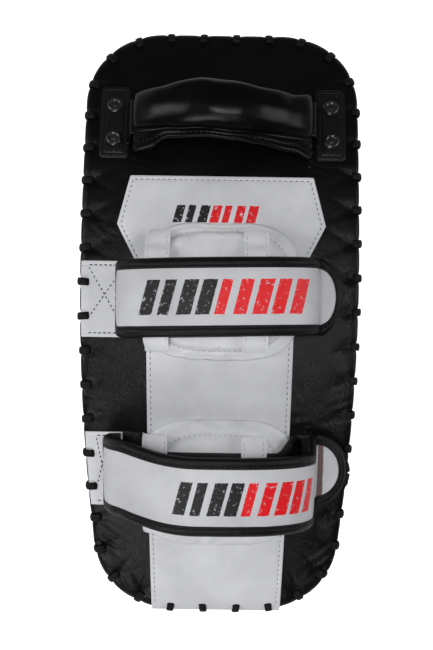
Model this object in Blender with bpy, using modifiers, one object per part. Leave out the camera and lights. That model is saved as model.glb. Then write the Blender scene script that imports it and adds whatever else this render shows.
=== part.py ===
"""A curved Thai kick pad: a laced leather block with a riveted grip handle, two forearm cushions
and two hook-and-loop arm straps. It lies on its striking face, arm straps up. Metres, +Z up,
+Y towards the handle end, origin at the middle of the footprint on the surface it lies on.

Every piece is first laid out over a flat pad, with its striking face at z = 0 and its back face at
z = THICKNESS. curved() then bends that layout over the pad's long curve, so layers keep their gaps."""

import math

import bmesh
import bpy
from mathutils import Vector

# Driving sizes of the pad block.
HALF_LENGTH = 0.1995
HALF_WIDTH = 0.0902
WAIST_START_Y = 0.050
WAIST_LOSS = 0.0095
WAIST_REACH = 0.200
THICKNESS = 0.090
TOP_CORNER = 0.050
BOTTOM_CORNER = 0.056
BACK_RADIUS = 0.520
STRIKE_SHARE = 0.6
ROW = 0.020
GAP = 0.0003

# The skin, and what it holds.
SKIN = 0.0020
STRIKE_RIM = 0.014
CORE_INSET = 0.0026
BOARD_INSET = 0.010
BOARD = 0.0030
FOAM_FRONT = 0.028
FOAM_MIDDLE = 0.058
FOOT_CUT = 0.0010

# Edge lacing.
LACE_RADIUS = 0.0012
EDGE_CORD_RADIUS = 0.0013
SEAM_DROP = 0.0040
SIDE_LACES = 11
CORNER_LACES = 4
END_LACES = 4

# Centre panel.
PANEL = 0.0012
SHIELD_TOP_Y, SHIELD_TOP_X = 0.0975, 0.061
SHIELD_POINT_Y, SHIELD_POINT_X = 0.0645, 0.069
STRIP_TOP_Y, STRIP_TOP_X = 0.026, 0.049
STRIP_END_Y, STRIP_END_X = -0.1938, 0.0445

# Handle.
HANDLE_Y = 0.1345
HINGE_Y, HINGE_H, HANDLE_LEAN = 0.1325, 0.0050, 9.0
TAB_X, TAB_HALF_X, TAB_HALF_Y, HANDLE_TAB = 0.0730, 0.0096, 0.0250, 0.0030
RIVET_Y = 0.0118
GRIP_HALF = 0.0590
GRIP_END_H, GRIP_MID_H = 0.0165, 0.0390
GRIP_END_WIDE, GRIP_MID_WIDE = 0.0145, 0.0192
GRIP_END_THICK, GRIP_MID_THICK = 0.0070, 0.0098
SLEEVE = 0.0016
STRAP_SLOT, INNER_STRAP = 0.0012, 0.0015
ROOT_X, HANDLE_ROOT = 0.0616, 0.0016

# Rivets.
CAP_RADIUS, CAP_HEIGHT = 0.0056, 0.0022
SHANK_RADIUS, SHANK_HOLE = 0.0020, 0.0023
WASHER_RADIUS, WASHER = 0.0050, 0.0010
POCKET_RADIUS = 0.0056

# Arm straps. Heights are above the back face.
STRAP_HALF = 0.0250
TAB = 0.0015
LINING, FACE, BINDING = 0.0025, 0.0012, 0.0017
OUTER = LINING + GAP + BINDING
BINDING_WIDE = 0.0064
ROOT_LEG, ROOT_RISE = 0.0016, 0.0012
TONGUE_H = 0.0033
LOOP, HOOK = 0.0010, 0.0012
FOLD_H = 0.0085
CREASE_H = 0.0092
ARCH_POWER = 2.8

# Forearm cushions.
CUSHION_HALF_X, CUSHION_HIGH, CUSHION_POWER = 0.0525, 0.0175, 3.2
CUSHION_BASE = PANEL + 2 * GAP
CUSHION_SKIN = 0.0012
KEEPER, KEEPER_HALF = 0.0013, 0.0080
KEEPER_X = (-0.0410, 0.0230)

UPPER = {
    "name": "upper", "y": 0.0145, "fold_x": -0.0635, "crease_x": 0.0600, "tail_x": 0.0780,
    "tongue_x": 0.0790, "high": 0.0345, "droop": 0.0, "rise": 0.0015,
    "cushion_y": 0.0205, "cushion_half_y": 0.0455,
}
LOWER = {
    "name": "lower", "y": -0.0985, "fold_x": -0.0700, "crease_x": 0.0590, "tail_x": 0.0845,
    "tongue_x": 0.0865, "high": 0.0560, "droop": 0.0085, "rise": 0.0,
    "cushion_y": -0.1075, "cushion_half_y": 0.0433,
}

MATERIALS = {
    "black_leather": ((0.012, 0.012, 0.014), 0.45, 0.0),
    "black_smooth_leather": ((0.010, 0.010, 0.011), 0.30, 0.0),
    "white_leather": ((0.62, 0.63, 0.66), 0.42, 0.0),
    "black_binding": ((0.010, 0.010, 0.011), 0.60, 0.0),
    "black_lace": ((0.008, 0.008, 0.009), 0.50, 0.0),
    "hook_and_loop": ((0.010, 0.010, 0.011), 0.90, 0.0),
    "webbing": ((0.012, 0.012, 0.013), 0.80, 0.0),
    "foam": ((0.30, 0.31, 0.32), 0.90, 0.0),
    "dense_foam": ((0.08, 0.08, 0.09), 0.85, 0.0),
    "fibre_board": ((0.25, 0.17, 0.10), 0.80, 0.0),
    "black_metal": ((0.020, 0.020, 0.022), 0.30, 0.9),
}


# ---------------------------------------------------------------- the pad's curve and outline

def parabola(y):
    return y * y / (2 * BACK_RADIUS)


def sag(y):
    """How far the back face falls away at y. It is straight between rows, so that layers that are
    cut at the rows keep their gaps."""
    low = math.floor(y / ROW + 1e-6) * ROW
    share = (y - low) / ROW
    return parabola(low) * (1 - share) + parabola(low + ROW) * share


FOOT_Y = HALF_LENGTH - STRIKE_RIM
LIFT = STRIKE_SHARE * parabola(FOOT_Y) - FOOT_CUT


def curved(x, y, z):
    """A point of the flat layout, on the curved pad. The striking face curves less than the back."""
    share = STRIKE_SHARE + (1 - STRIKE_SHARE) * min(max(z / THICKNESS, 0.0), 1.0)
    return Vector((x, y, z - sag(y) * share + LIFT))


def on_back(x, y, h):
    return curved(x, y, THICKNESS + h)


def half_width(y):
    lost = max(0.0, WAIST_START_Y - y) / WAIST_REACH
    return HALF_WIDTH - WAIST_LOSS * lost * lost


def outline(inset, corner_steps=6, side_steps=8):
    """The pad's outline, anticlockwise from the bottom middle, moved in by inset."""
    bottom_y = -HALF_LENGTH + BOTTOM_CORNER
    top_y = HALF_LENGTH - TOP_CORNER
    right = []
    for i in range(corner_steps + 1):
        a = -math.pi / 2 + i / corner_steps * math.pi / 2
        r = BOTTOM_CORNER - inset
        right.append((half_width(bottom_y) - BOTTOM_CORNER + r * math.cos(a), bottom_y + r * math.sin(a)))
    for i in range(1, side_steps):
        y = bottom_y + (top_y - bottom_y) * i / side_steps
        right.append((half_width(y) - inset, y))
    for i in range(corner_steps + 1):
        a = i / corner_steps * math.pi / 2
        r = TOP_CORNER - inset
        right.append((HALF_WIDTH - TOP_CORNER + r * math.cos(a), top_y + r * math.sin(a)))
    return right + [(-x, y) for x, y in reversed(right)]


# ---------------------------------------------------------------- tools

def clear_scene():
    for obj in list(bpy.data.objects):
        bpy.data.objects.remove(obj, do_unlink=True)


def make_material(name):
    colour, roughness, metallic = MATERIALS[name]
    material = bpy.data.materials.new(name)
    material.use_nodes = True
    shader = material.node_tree.nodes["Principled BSDF"]
    shader.inputs["Base Color"].default_value = (*colour, 1.0)
    shader.inputs["Roughness"].default_value = roughness
    shader.inputs["Metallic"].default_value = metallic
    return material


def new_mesh_object(name, mesh):
    obj = bpy.data.objects.new(name, mesh)
    PARTS.objects.link(obj)
    return obj


def adopted(name):
    """The primitive that was just added, named and moved to the part's collection."""
    obj = bpy.context.object
    for collection in list(obj.users_collection):
        collection.objects.unlink(obj)
    PARTS.objects.link(obj)
    obj.name = name
    return obj


def applied(obj):
    """obj with its modifiers applied, or a curve turned into a welded mesh, in world space."""
    bpy.context.view_layer.update()
    graph = bpy.context.evaluated_depsgraph_get()
    mesh = bpy.data.meshes.new_from_object(obj.evaluated_get(graph))
    mesh.transform(obj.matrix_world)
    name = obj.name
    bpy.data.objects.remove(obj, do_unlink=True)
    work = bmesh.new()
    work.from_mesh(mesh)
    bmesh.ops.remove_doubles(work, verts=work.verts, dist=1e-6)
    work.to_mesh(mesh)
    work.free()
    return new_mesh_object(name, mesh)


def slice_rows(obj):
    """Cuts the mesh at every row, so that it can follow the pad's curve."""
    work = bmesh.new()
    work.from_mesh(obj.data)
    rows = int(HALF_LENGTH / ROW) + 1
    for i in range(-rows, rows + 1):
        everything = work.verts[:] + work.edges[:] + work.faces[:]
        bmesh.ops.bisect_plane(work, geom=everything, dist=1e-7, plane_co=(0, i * ROW, 0), plane_no=(0, 1, 0))
    work.to_mesh(obj.data)
    work.free()


def bend(obj, shift=None):
    """Takes the flat layout onto the curved pad. shift(x) then moves points along Y."""
    for vertex in obj.data.vertices:
        x, y, z = vertex.co
        vertex.co = curved(x, y, z)
        if shift:
            vertex.co.y += shift(x)


def done(obj, material, empty=None, smooth=35.0):
    """Gives a finished piece its material and shading, and its origin on its empty."""
    obj.data.materials.clear()
    obj.data.materials.append(SHADES[material])
    obj.data.shade_smooth()
    obj.data.set_sharp_from_angle(angle=math.radians(smooth))
    if empty is None:
        centre = sum((v.co for v in obj.data.vertices), Vector()) / len(obj.data.vertices)
    else:
        centre = empty.location.copy()
        obj.parent = empty
    for vertex in obj.data.vertices:
        vertex.co -= centre
    obj.location = (0, 0, 0) if empty else centre
    return obj


def flat_shape(name, points, z_low, z_high):
    """A closed flat outline given a thickness."""
    curve = bpy.data.curves.new(name, "CURVE")
    curve.dimensions = "2D"
    curve.fill_mode = "BOTH"
    curve.extrude = (z_high - z_low) / 2
    spline = curve.splines.new("POLY")
    spline.points.add(len(points) - 1)
    for point, (x, y) in zip(spline.points, points):
        point.co = (x, y, 0, 1)
    spline.use_cyclic_u = True
    obj = bpy.data.objects.new(name, curve)
    obj.location.z = (z_low + z_high) / 2
    PARTS.objects.link(obj)
    return applied(obj)


def round_rim(obj, z, radius, steps=3):
    """Rounds the edges of a flat shape that lie in the plane at z."""
    work = bmesh.new()
    work.from_mesh(obj.data)
    rim = [e for e in work.edges if all(abs(v.co.z - z) < 1e-6 for v in e.verts)
           and any(abs(f.normal.z) < 0.5 for f in e.link_faces)]
    bmesh.ops.bevel(work, geom=rim, offset=radius, segments=steps, profile=0.5, affect="EDGES")
    work.to_mesh(obj.data)
    work.free()


def slab(name, inset, z_low, z_high, low_rim=0.0, high_rim=0.0):
    obj = flat_shape(name, outline(inset), z_low, z_high)
    if low_rim:
        round_rim(obj, z_low, low_rim)
    if high_rim:
        round_rim(obj, z_high, high_rim)
    return obj


def cut(obj, cutters):
    """Cuts every cutter from obj, then removes them."""
    for cutter in cutters:
        modifier = obj.modifiers.new("cut", "BOOLEAN")
        modifier.operation = "DIFFERENCE"
        modifier.object = cutter
    result = applied(obj)
    for cutter in cutters:
        bpy.data.objects.remove(cutter, do_unlink=True)
    return result


def cylinder(name, x, y, radius, z_low, z_high, sides=10):
    mesh = bpy.data.meshes.new(name)
    work = bmesh.new()
    bmesh.ops.create_cone(work, cap_ends=True, segments=sides, radius1=radius, radius2=radius, depth=z_high - z_low)
    bmesh.ops.translate(work, verts=work.verts, vec=(x, y, (z_low + z_high) / 2))
    work.to_mesh(mesh)
    work.free()
    return new_mesh_object(name, mesh)


def turned(name, profile, x, y, steps=12):
    """A turned shape on a vertical axis. profile is (radius, z), down its outer side."""
    mesh = bpy.data.meshes.new(name)
    mesh.from_pydata([(r, 0, z) for r, z in profile], [(i, i + 1) for i in range(len(profile) - 1)], [])
    obj = new_mesh_object(name, mesh)
    screw = obj.modifiers.new("turn", "SCREW")
    screw.steps = screw.render_steps = steps
    screw.use_merge_vertices = True
    screw.merge_threshold = 1e-5
    obj.location = (x, y, 0)
    return applied(obj)


def sheet(name, us, vs, point, thickness):
    """A band of leather or webbing: a grid laid over point(u, v), given its thickness on its outer side."""
    bpy.ops.mesh.primitive_grid_add(x_subdivisions=len(us) - 1, y_subdivisions=len(vs) - 1, size=2)
    obj = adopted(name)
    for vertex in obj.data.vertices:
        i = round((vertex.co.x + 1) / 2 * (len(us) - 1))
        j = round((vertex.co.y + 1) / 2 * (len(vs) - 1))
        vertex.co = point(us[i], vs[j])
    solid = obj.modifiers.new("thickness", "SOLIDIFY")
    solid.thickness = thickness
    solid.offset = 1.0
    solid.use_even_offset = True
    return applied(obj)


def spread(low, high, count):
    return [low + (high - low) * i / count for i in range(count + 1)]


def with_rows(low, high, count=1):
    """Places along Y from low to high, with every row of the pad's curve between them."""
    places = spread(low, high, count)
    first = math.ceil(low / ROW)
    while first * ROW < high:
        if all(abs(first * ROW - y) > 0.002 for y in places):
            places.append(first * ROW)
        first += 1
    return sorted(places)


def mid(a, b, share):
    return a + (b - a) * share


# ---------------------------------------------------------------- pad block

def rivet_places():
    places = {f"handle_rivet_{side}_{end}": (sign * TAB_X, HANDLE_Y + step, HANDLE_TAB)
              for side, sign in (("left", -1), ("right", 1))
              for end, step in (("outer", RIVET_Y), ("inner", -RIVET_Y))}
    for strap in (UPPER, LOWER):
        places[f"{strap['name']}_anchor_rivet"] = (strap["fold_x"] + ANCHOR_RIVET_IN, strap["y"], TAB)
    return places


ANCHOR_RIVET_IN = -0.0005


def rivet_holes(z_low, z_high, radius, under=0.0):
    return [cylinder(f"hole_{name}", x, y, radius, z_low, z_high)
            for name, (x, y, _) in rivet_places().items()]


def make_covers():
    cover = slab("strike_cover", 0.0, 0.0, THICKNESS - SKIN - GAP, low_rim=STRIKE_RIM)
    work = bmesh.new()
    work.from_mesh(cover.data)
    top = [f for f in work.faces if f.normal.z > 0.9 and f.calc_center_median().z > THICKNESS / 2]
    bmesh.ops.delete(work, geom=top, context="FACES")
    work.to_mesh(cover.data)
    work.free()
    slice_rows(cover)
    bend(cover)
    shell = cover.modifiers.new("skin", "SOLIDIFY")
    shell.thickness = SKIN
    shell.offset = -1.0
    shell.use_even_offset = True
    cover = applied(cover)
    trim_foot(cover)
    done(cover, "black_leather")

    back = slab("back_cover", 0.0, THICKNESS - SKIN, THICKNESS, high_rim=0.0012)
    back = cut(back, rivet_holes(THICKNESS - 2 * SKIN, THICKNESS + SKIN, SHANK_HOLE))
    slice_rows(back)
    bend(back)
    done(back, "black_leather")


def trim_foot(obj):
    """Presses a flat band across each end of the striking face, where the pad lies on a surface."""
    work = bmesh.new()
    work.from_mesh(obj.data)
    everything = work.verts[:] + work.edges[:] + work.faces[:]
    found = bmesh.ops.bisect_plane(work, geom=everything, dist=1e-7, plane_co=(0, 0, 0), plane_no=(0, 0, -1),
                                   clear_outer=True)
    rim = [e for e in found["geom_cut"] if isinstance(e, bmesh.types.BMEdge)]
    bmesh.ops.holes_fill(work, edges=rim, sides=0)
    work.to_mesh(obj.data)
    work.free()


def make_core():
    top = THICKNESS - SKIN - GAP
    board = slab("backing_board", BOARD_INSET, top - BOARD, top)
    board = cut(board, rivet_holes(top - 2 * BOARD, top + BOARD, SHANK_HOLE))
    slice_rows(board)
    bend(board)
    done(board, "fibre_board")
    layers = (
        ("foam_front", CORE_INSET, FOAM_FRONT, STRIKE_RIM - CORE_INSET, 0.0, "foam"),
        ("foam_middle", FOAM_FRONT + GAP, FOAM_MIDDLE, 0.0, 0.0, "dense_foam"),
        ("foam_back", FOAM_MIDDLE + GAP, top - BOARD - GAP, 0.0, 0.003, "foam"),
    )
    for name, low, high, low_rim, high_rim, material in layers:
        layer = slab(name, CORE_INSET, low, high, low_rim, high_rim)
        if name == "foam_back":
            layer = cut(layer, rivet_holes(high - 0.004, high + 0.004, POCKET_RADIUS))
        slice_rows(layer)
        bend(layer)
        done(layer, material)


def seam_frames():
    """Every lace stitch as (point on the outline, outward direction), evenly along the seam."""
    points = [Vector((x, y)) for x, y in outline(0.0, corner_steps=24, side_steps=24)]
    lengths = [0.0]
    for a, b in zip(points, points[1:] + points[:1]):
        lengths.append(lengths[-1] + (b - a).length)
    count = 2 * SIDE_LACES + 4 * CORNER_LACES + 2 * END_LACES
    frames = []
    for k in range(count):
        want = (k + 0.5) / count * lengths[-1]
        i = max(n for n in range(len(points)) if lengths[n] <= want)
        a, b = points[i], points[(i + 1) % len(points)]
        along = (b - a).normalized()
        frames.append((a + along * (want - lengths[i]), Vector((along.y, -along.x))))
    return frames


def tube(name, points, radius, closed=False, rounds=1):
    curve = bpy.data.curves.new(name, "CURVE")
    curve.dimensions = "3D"
    curve.bevel_depth = radius
    curve.bevel_resolution = rounds
    curve.use_fill_caps = not closed
    spline = curve.splines.new("POLY")
    spline.points.add(len(points) - 1)
    for point, place in zip(spline.points, points):
        point.co = (*place, 1)
    spline.use_cyclic_u = closed
    obj = bpy.data.objects.new(name, curve)
    PARTS.objects.link(obj)
    return applied(obj)


def make_lacing():
    """One lace: a cord along the seam, with a short stitch over the edge at every hole."""
    path = [(x, y, THICKNESS - SEAM_DROP) for x, y in outline(-0.0018, corner_steps=8, side_steps=12)]
    cord = tube("edge_lacing", path, EDGE_CORD_RADIUS, closed=True)
    section = ((-0.0040, 0.0017), (-0.0016, 0.00175), (0.0013, 0.0009), (0.0019, -0.0015), (0.0019, -0.0096))
    joined = bmesh.new()
    for place, out in seam_frames():
        points = [(*(place + out * off), THICKNESS + up) for off, up in section]
        stitch = tube("stitch", points, LACE_RADIUS, rounds=0)
        joined.from_mesh(stitch.data)
        bpy.data.objects.remove(stitch, do_unlink=True)
    mesh = bpy.data.meshes.new("stitches")
    joined.to_mesh(mesh)
    joined.free()
    stitches = new_mesh_object("stitches", mesh)
    for obj in (cord, stitches):
        bend(obj)
    union = cord.modifiers.new("lace", "BOOLEAN")
    union.operation = "UNION"
    union.object = stitches
    cord = applied(cord)
    bpy.data.objects.remove(stitches, do_unlink=True)
    done(cord, "black_lace", smooth=60)


def panel_half(y):
    """Half the width of the centre panel: a pointed shield that narrows into a long strip."""
    if y > SHIELD_POINT_Y:
        return mid(SHIELD_POINT_X, SHIELD_TOP_X, (y - SHIELD_POINT_Y) / (SHIELD_TOP_Y - SHIELD_POINT_Y))
    if y > STRIP_TOP_Y:
        return mid(STRIP_TOP_X, SHIELD_POINT_X, (y - STRIP_TOP_Y) / (SHIELD_POINT_Y - STRIP_TOP_Y))
    return mid(STRIP_END_X, STRIP_TOP_X, (y - STRIP_END_Y) / (STRIP_TOP_Y - STRIP_END_Y))


def make_panel():
    corners = [STRIP_END_Y, STRIP_TOP_Y, SHIELD_POINT_Y, SHIELD_TOP_Y]
    ys = sorted(set(corners + [i * ROW for i in range(-9, 5)]))
    panel = sheet("centre_panel", [-1.0, 1.0], ys, lambda u, y: on_back(u * panel_half(y), y, GAP), PANEL)
    done(panel, "white_leather")


# ---------------------------------------------------------------- rivets

def make_rivets():
    top = THICKNESS - SKIN - GAP - BOARD
    for name, (x, y, leather) in rivet_places().items():
        seat = THICKNESS + GAP + leather + GAP
        foot = top - GAP - WASHER - GAP
        profile = (
            (0.0, seat + CAP_HEIGHT * 0.55), (0.0016, seat + CAP_HEIGHT * 0.6), (0.0028, seat + CAP_HEIGHT),
            (0.0044, seat + CAP_HEIGHT * 0.8), (CAP_RADIUS, seat + 0.0004), (CAP_RADIUS, seat),
            (SHANK_RADIUS, seat), (SHANK_RADIUS, foot), (0.0, foot),
        )
        rivet = turned(name, profile, x, y)
        bend(rivet)
        done(rivet, "black_metal")
        washer = cylinder(name.replace("rivet", "washer"), x, y, WASHER_RADIUS, top - GAP - WASHER, top - GAP)
        washer = cut(washer, [cylinder("hole", x, y, SHANK_HOLE, top - 0.01, top + 0.01)])
        bend(washer)
        done(washer, "black_metal")


# ---------------------------------------------------------------- handle

def grip_share(x):
    """0 at the grip's ends and 1 at its middle."""
    return 1 - (abs(x) / GRIP_HALF) ** 2.2


def grip_height(x):
    return mid(GRIP_END_H, GRIP_MID_H, grip_share(x))


def leaned(x, across, h):
    """A point of the handle, across and h from its hinge line on the back, leant towards the pad's end."""
    lean = math.radians(HANDLE_LEAN)
    c, s = math.cos(lean), math.sin(lean)
    up = h - HINGE_H
    return on_back(x, HINGE_Y, HINGE_H) + Vector((0, across * c + up * s, up * c - across * s))


def grip_sizes(x):
    share = grip_share(x)
    return mid(GRIP_END_WIDE, GRIP_MID_WIDE, share), mid(GRIP_END_THICK, GRIP_MID_THICK, share)


def grip_point(x, angle):
    """A point of the grip's skin, at x along it and angle round its section."""
    wide, thick = grip_sizes(x)
    c, s = math.cos(angle), math.sin(angle)
    y = wide * math.copysign(abs(c) ** 0.75, c)
    h = thick * math.copysign(abs(s) ** 0.85, s)
    return leaned(x, y, grip_height(x) + h)


def make_handle(empty):
    xs = spread(-GRIP_HALF, GRIP_HALF, 12)
    sides = 16
    bpy.ops.mesh.primitive_cylinder_add(vertices=sides, radius=1, depth=2, end_fill_type="NOTHING")
    sleeve = adopted("handle_sleeve")
    work = bmesh.new()
    work.from_mesh(sleeve.data)
    for i in range(1, 12):
        everything = work.verts[:] + work.edges[:] + work.faces[:]
        bmesh.ops.bisect_plane(work, geom=everything, dist=1e-6, plane_co=(0, 0, -1 + i / 6), plane_no=(0, 0, 1))
    for vertex in work.verts:
        angle = math.atan2(vertex.co.y, vertex.co.x)
        vertex.co = grip_point(vertex.co.z * GRIP_HALF, angle)
    bmesh.ops.recalc_face_normals(work, faces=work.faces)
    work.to_mesh(sleeve.data)
    work.free()
    skin = sleeve.modifiers.new("skin", "SOLIDIFY")
    skin.thickness = SLEEVE
    skin.offset = -1.0
    done(applied(sleeve), "black_smooth_leather", empty)

    for name, sign in (("handle_core_top", 1), ("handle_core_bottom", -1)):
        core = sheet(name, xs, spread(-1.0, 1.0, 4), lambda x, v: core_inner(x, v, sign), 0.0001)
        raise_core(core, xs, sign)
        done(core, "foam", empty)

    strap_xs = spread(-GRIP_HALF - 0.0008, GRIP_HALF + 0.0008, 12)
    strap = sheet("handle_inner_strap", strap_xs, [-0.0105, 0.0105],
                  lambda x, v: leaned(x, v, grip_height(x) - 0.75 * STRAP_SLOT), INNER_STRAP)
    done(strap, "webbing", empty)


def core_inner(x, v, sign):
    wide, _ = grip_sizes(x)
    return leaned(x, v * (wide - SLEEVE - 0.0030) * sign, grip_height(x) + sign * (STRAP_SLOT + GAP))


def raise_core(core, xs, sign):
    """Raises the core's outer side from its inner side to a low crown that fits inside the sleeve."""
    places = [(core_inner(x, v, sign), x, v) for x in xs for v in spread(-1.0, 1.0, 4)]
    for vertex in core.data.vertices:
        base, x, v = min(places, key=lambda place: (place[0] - vertex.co).length)
        if (base - vertex.co).length > 0.00005:
            wide, thick = grip_sizes(x)
            across = v * (wide - SLEEVE - 0.0030) * sign
            crown = mid(thick - SLEEVE - 0.0018, STRAP_SLOT + GAP + 0.0010, v * v)
            vertex.co = leaned(x, across, grip_height(x) + sign * crown)


def make_handle_ends():
    for side, sign in (("left", -1), ("right", 1)):
        low_x, high_x = sorted((sign * (TAB_X - TAB_HALF_X), sign * (TAB_X + TAB_HALF_X)))
        corner = 0.003
        points = [(low_x + corner, HANDLE_Y - TAB_HALF_Y), (high_x - corner, HANDLE_Y - TAB_HALF_Y),
                  (high_x, HANDLE_Y - TAB_HALF_Y + corner), (high_x, HANDLE_Y + TAB_HALF_Y - corner),
                  (high_x - corner, HANDLE_Y + TAB_HALF_Y), (low_x + corner, HANDLE_Y + TAB_HALF_Y),
                  (low_x, HANDLE_Y + TAB_HALF_Y - corner), (low_x, HANDLE_Y - TAB_HALF_Y + corner)]
        tab = flat_shape(f"handle_tab_{side}", points, THICKNESS + GAP, THICKNESS + GAP + HANDLE_TAB)
        holes = [cylinder("hole", sign * TAB_X, HANDLE_Y + step, SHANK_HOLE, THICKNESS - 0.01, THICKNESS + 0.01)
                 for step in (RIVET_Y, -RIVET_Y)]
        tab = cut(tab, holes)
        slice_rows(tab)
        bend(tab)
        done(tab, "black_leather")

        root = sheet(f"handle_root_{side}", [GAP, GRIP_END_H + 0.0008],
                     with_rows(HANDLE_Y - 0.0145, HANDLE_Y + 0.0135),
                     lambda h, y: on_back(sign * ROOT_X, y, h), HANDLE_ROOT * -sign)
        done(root, "black_smooth_leather")


# ---------------------------------------------------------------- arm straps

def arch(strap, angle, off):
    """(x, height) of the strap's arm at angle, from pi at its fold to 0 at its crease, off above its inner side."""
    centre = (strap["fold_x"] + strap["crease_x"]) / 2
    span = (strap["crease_x"] - strap["fold_x"]) / 2

    def place(a):
        c, s = math.cos(a), math.sin(a)
        x = centre + span * math.copysign(abs(c) ** (2 / ARCH_POWER), c)
        low = mid(CREASE_H, FOLD_H, (1 - c) / 2)
        return Vector((x, low + (strap["high"] - low) * abs(s) ** (2 / ARCH_POWER)))

    step = 0.01
    along = place(angle - step) - place(angle + step)
    normal = Vector((-along.y, along.x)).normalized()
    return place(angle) + normal * off


def smooth(share):
    share = min(max(share, 0.0), 1.0)
    return share * share * (3 - 2 * share)


def droop(strap, x, angle):
    """How far the arm hangs towards the pad's lower end, and how it leans: it is held at its fold and
    at its crease, and hangs fully from its middle to low on its free leg."""
    centre = (strap["fold_x"] + strap["crease_x"]) / 2
    span = (strap["crease_x"] - strap["fold_x"]) / 2
    s = min(max((x - centre) / span, -1.0), 1.0)
    hang = smooth((math.pi - angle - 0.6) / 0.95) * smooth((angle - 0.02) / 0.23)
    return -strap["droop"] * hang + strap["rise"] * (s + 1)


def arm_angles():
    return [math.pi - 0.035] + spread(math.pi - 0.16, 0.16, 14) + [0.085, 0.030]


def arm_layer(strap, name, v_low, v_high, off, thickness, material, empty):
    ys = with_rows(strap["y"] + v_low, strap["y"] + v_high)

    def point(angle, y):
        x, h = arch(strap, angle, off)
        place = on_back(x, y, h)
        place.y += droop(strap, x, angle)
        return place

    layer = sheet(name, arm_angles(), ys, point, thickness)
    done(layer, material, empty)


def make_arm(strap, empty):
    name = strap["name"]
    arm_layer(strap, f"{name}_arm_lining", -STRAP_HALF, STRAP_HALF, 0.0, LINING, "hook_and_loop", empty)
    over = LINING + GAP
    inner = STRAP_HALF - BINDING_WIDE
    arm_layer(strap, f"{name}_arm_face", -inner + GAP, inner - GAP, over, FACE, "white_leather", empty)
    arm_layer(strap, f"{name}_arm_binding_top", inner, STRAP_HALF, over, BINDING, "black_binding", empty)
    arm_layer(strap, f"{name}_arm_binding_bottom", -STRAP_HALF, -inner, over, BINDING, "black_binding", empty)


TAIL_GAP = 0.0006


def tail_start(strap):
    """The tail begins where the arm's outer side ends."""
    return strap["crease_x"] + OUTER + TAIL_GAP


def centre_line(strap):
    return strap["y"] + 2 * strap["rise"]


def tail_outline(strap, inset, start):
    """Half an ellipse: wide at start, rounded at the tail's tip."""
    depth = strap["tail_x"] - inset - start
    return [(start + depth * math.cos(a), centre_line(strap) + (STRAP_HALF - inset) * math.sin(a))
            for a in spread(-math.pi / 2, math.pi / 2, 8)]


def make_tail(strap, empty):
    name = strap["name"]
    start = tail_start(strap)
    floor = THICKNESS + TONGUE_H + ROOT_LEG + GAP + LOOP + GAP
    hook = flat_shape(f"{name}_tail_hook", tail_outline(strap, 0.0, start), floor, floor + HOOK)
    slice_rows(hook)
    bend(hook)
    done(hook, "hook_and_loop", empty)
    low = floor + HOOK + GAP
    face = flat_shape(f"{name}_tail_face", tail_outline(strap, BINDING_WIDE * 0.8, start), low, low + FACE)
    slice_rows(face)
    bend(face)
    done(face, "white_leather", empty)

    def binding_point(angle, share):
        inset = mid(BINDING_WIDE * 0.8 - GAP, 0.0, share)
        depth = strap["tail_x"] - inset - start
        return curved(start + depth * math.cos(angle),
                      centre_line(strap) + (STRAP_HALF - inset) * math.sin(angle), low)

    binding = sheet(f"{name}_tail_binding", spread(math.pi / 2, -math.pi / 2, 12), [0.0, 1.0], binding_point, FACE)
    done(binding, "black_binding", empty)


def make_anchor(strap):
    """The white tab runs from beside the lacing to under the strap's fold."""
    name = strap["name"]
    top = strap["y"] + STRAP_HALF - 0.0002
    ys = with_rows(strap["y"] - STRAP_HALF + 0.0002, top)
    inner = min(strap["fold_x"] + 0.0130, -panel_half(top) - 0.0006)
    tab = sheet(f"{name}_anchor_tab", [0.0, 1.0], ys,
                lambda share, y: on_back(mid(-half_width(y) + 0.0058, inner, share), y, GAP), TAB)
    hole = cylinder("hole", strap["fold_x"] + ANCHOR_RIVET_IN, strap["y"], SHANK_HOLE,
                    THICKNESS - 0.02, THICKNESS + 0.03)
    done(cut(tab, [hole]), "white_leather")


def make_root_leg(strap):
    """The strap's sewn leg: from the anchor tab, over the cushion, to a rounded tongue at its far side."""
    name = strap["name"]
    start = strap["fold_x"] + ANCHOR_RIVET_IN + CAP_RADIUS + 0.0014
    bend_x = CUSHION_HALF_X + 0.0020
    straight = strap["tongue_x"] - 0.0200
    xs = [start, -bend_x] + spread(-CUSHION_HALF_X + 0.0015, CUSHION_HALF_X - 0.0015, 12) + [bend_x, straight]
    halves = {x: STRAP_HALF for x in xs}
    for a in (30, 52, 70, 83):
        x = straight + 0.0200 * math.sin(math.radians(a))
        xs.append(x)
        halves[x] = STRAP_HALF * math.cos(math.radians(a))
    count = 5

    def height(x, y):
        if x < -bend_x - 1e-6:
            return GAP + TAB + GAP
        if x > CUSHION_HALF_X:
            return TONGUE_H
        over = [cushion_top(strap, x + step, y + side) for step in (-0.004, -0.002, 0.0, 0.002, 0.004)
                for side in (-0.003, 0.0, 0.003)]
        return max(max(over) + ROOT_RISE, TONGUE_H)

    def point(x, v):
        lean = droop_of_tongue(strap, x)
        y = strap["y"] + v * halves[x]
        place = on_back(x, y, height(x, y + lean))
        place.y += lean
        place.z += sag(y) - sag(y + lean)
        return place

    done(sheet(f"{name}_strap_root", xs, spread(-1.0, 1.0, count), point, ROOT_LEG), "black_binding")
    low = GAP + TAB + GAP + CAP_HEIGHT + 0.0004
    rise = FOLD_H - low - 0.0004
    back = start - 0.0010
    reach = back - strap["fold_x"] + LINING
    ys = with_rows(strap["y"] - STRAP_HALF, strap["y"] + STRAP_HALF)
    fold = sheet(f"{name}_strap_fold", spread(math.pi, math.pi * 1.5, 4), ys,
                 lambda angle, y: on_back(back + reach * math.cos(angle), y, low + rise * (1 + math.sin(angle))), 0.0010)
    done(fold, "black_binding")


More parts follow.
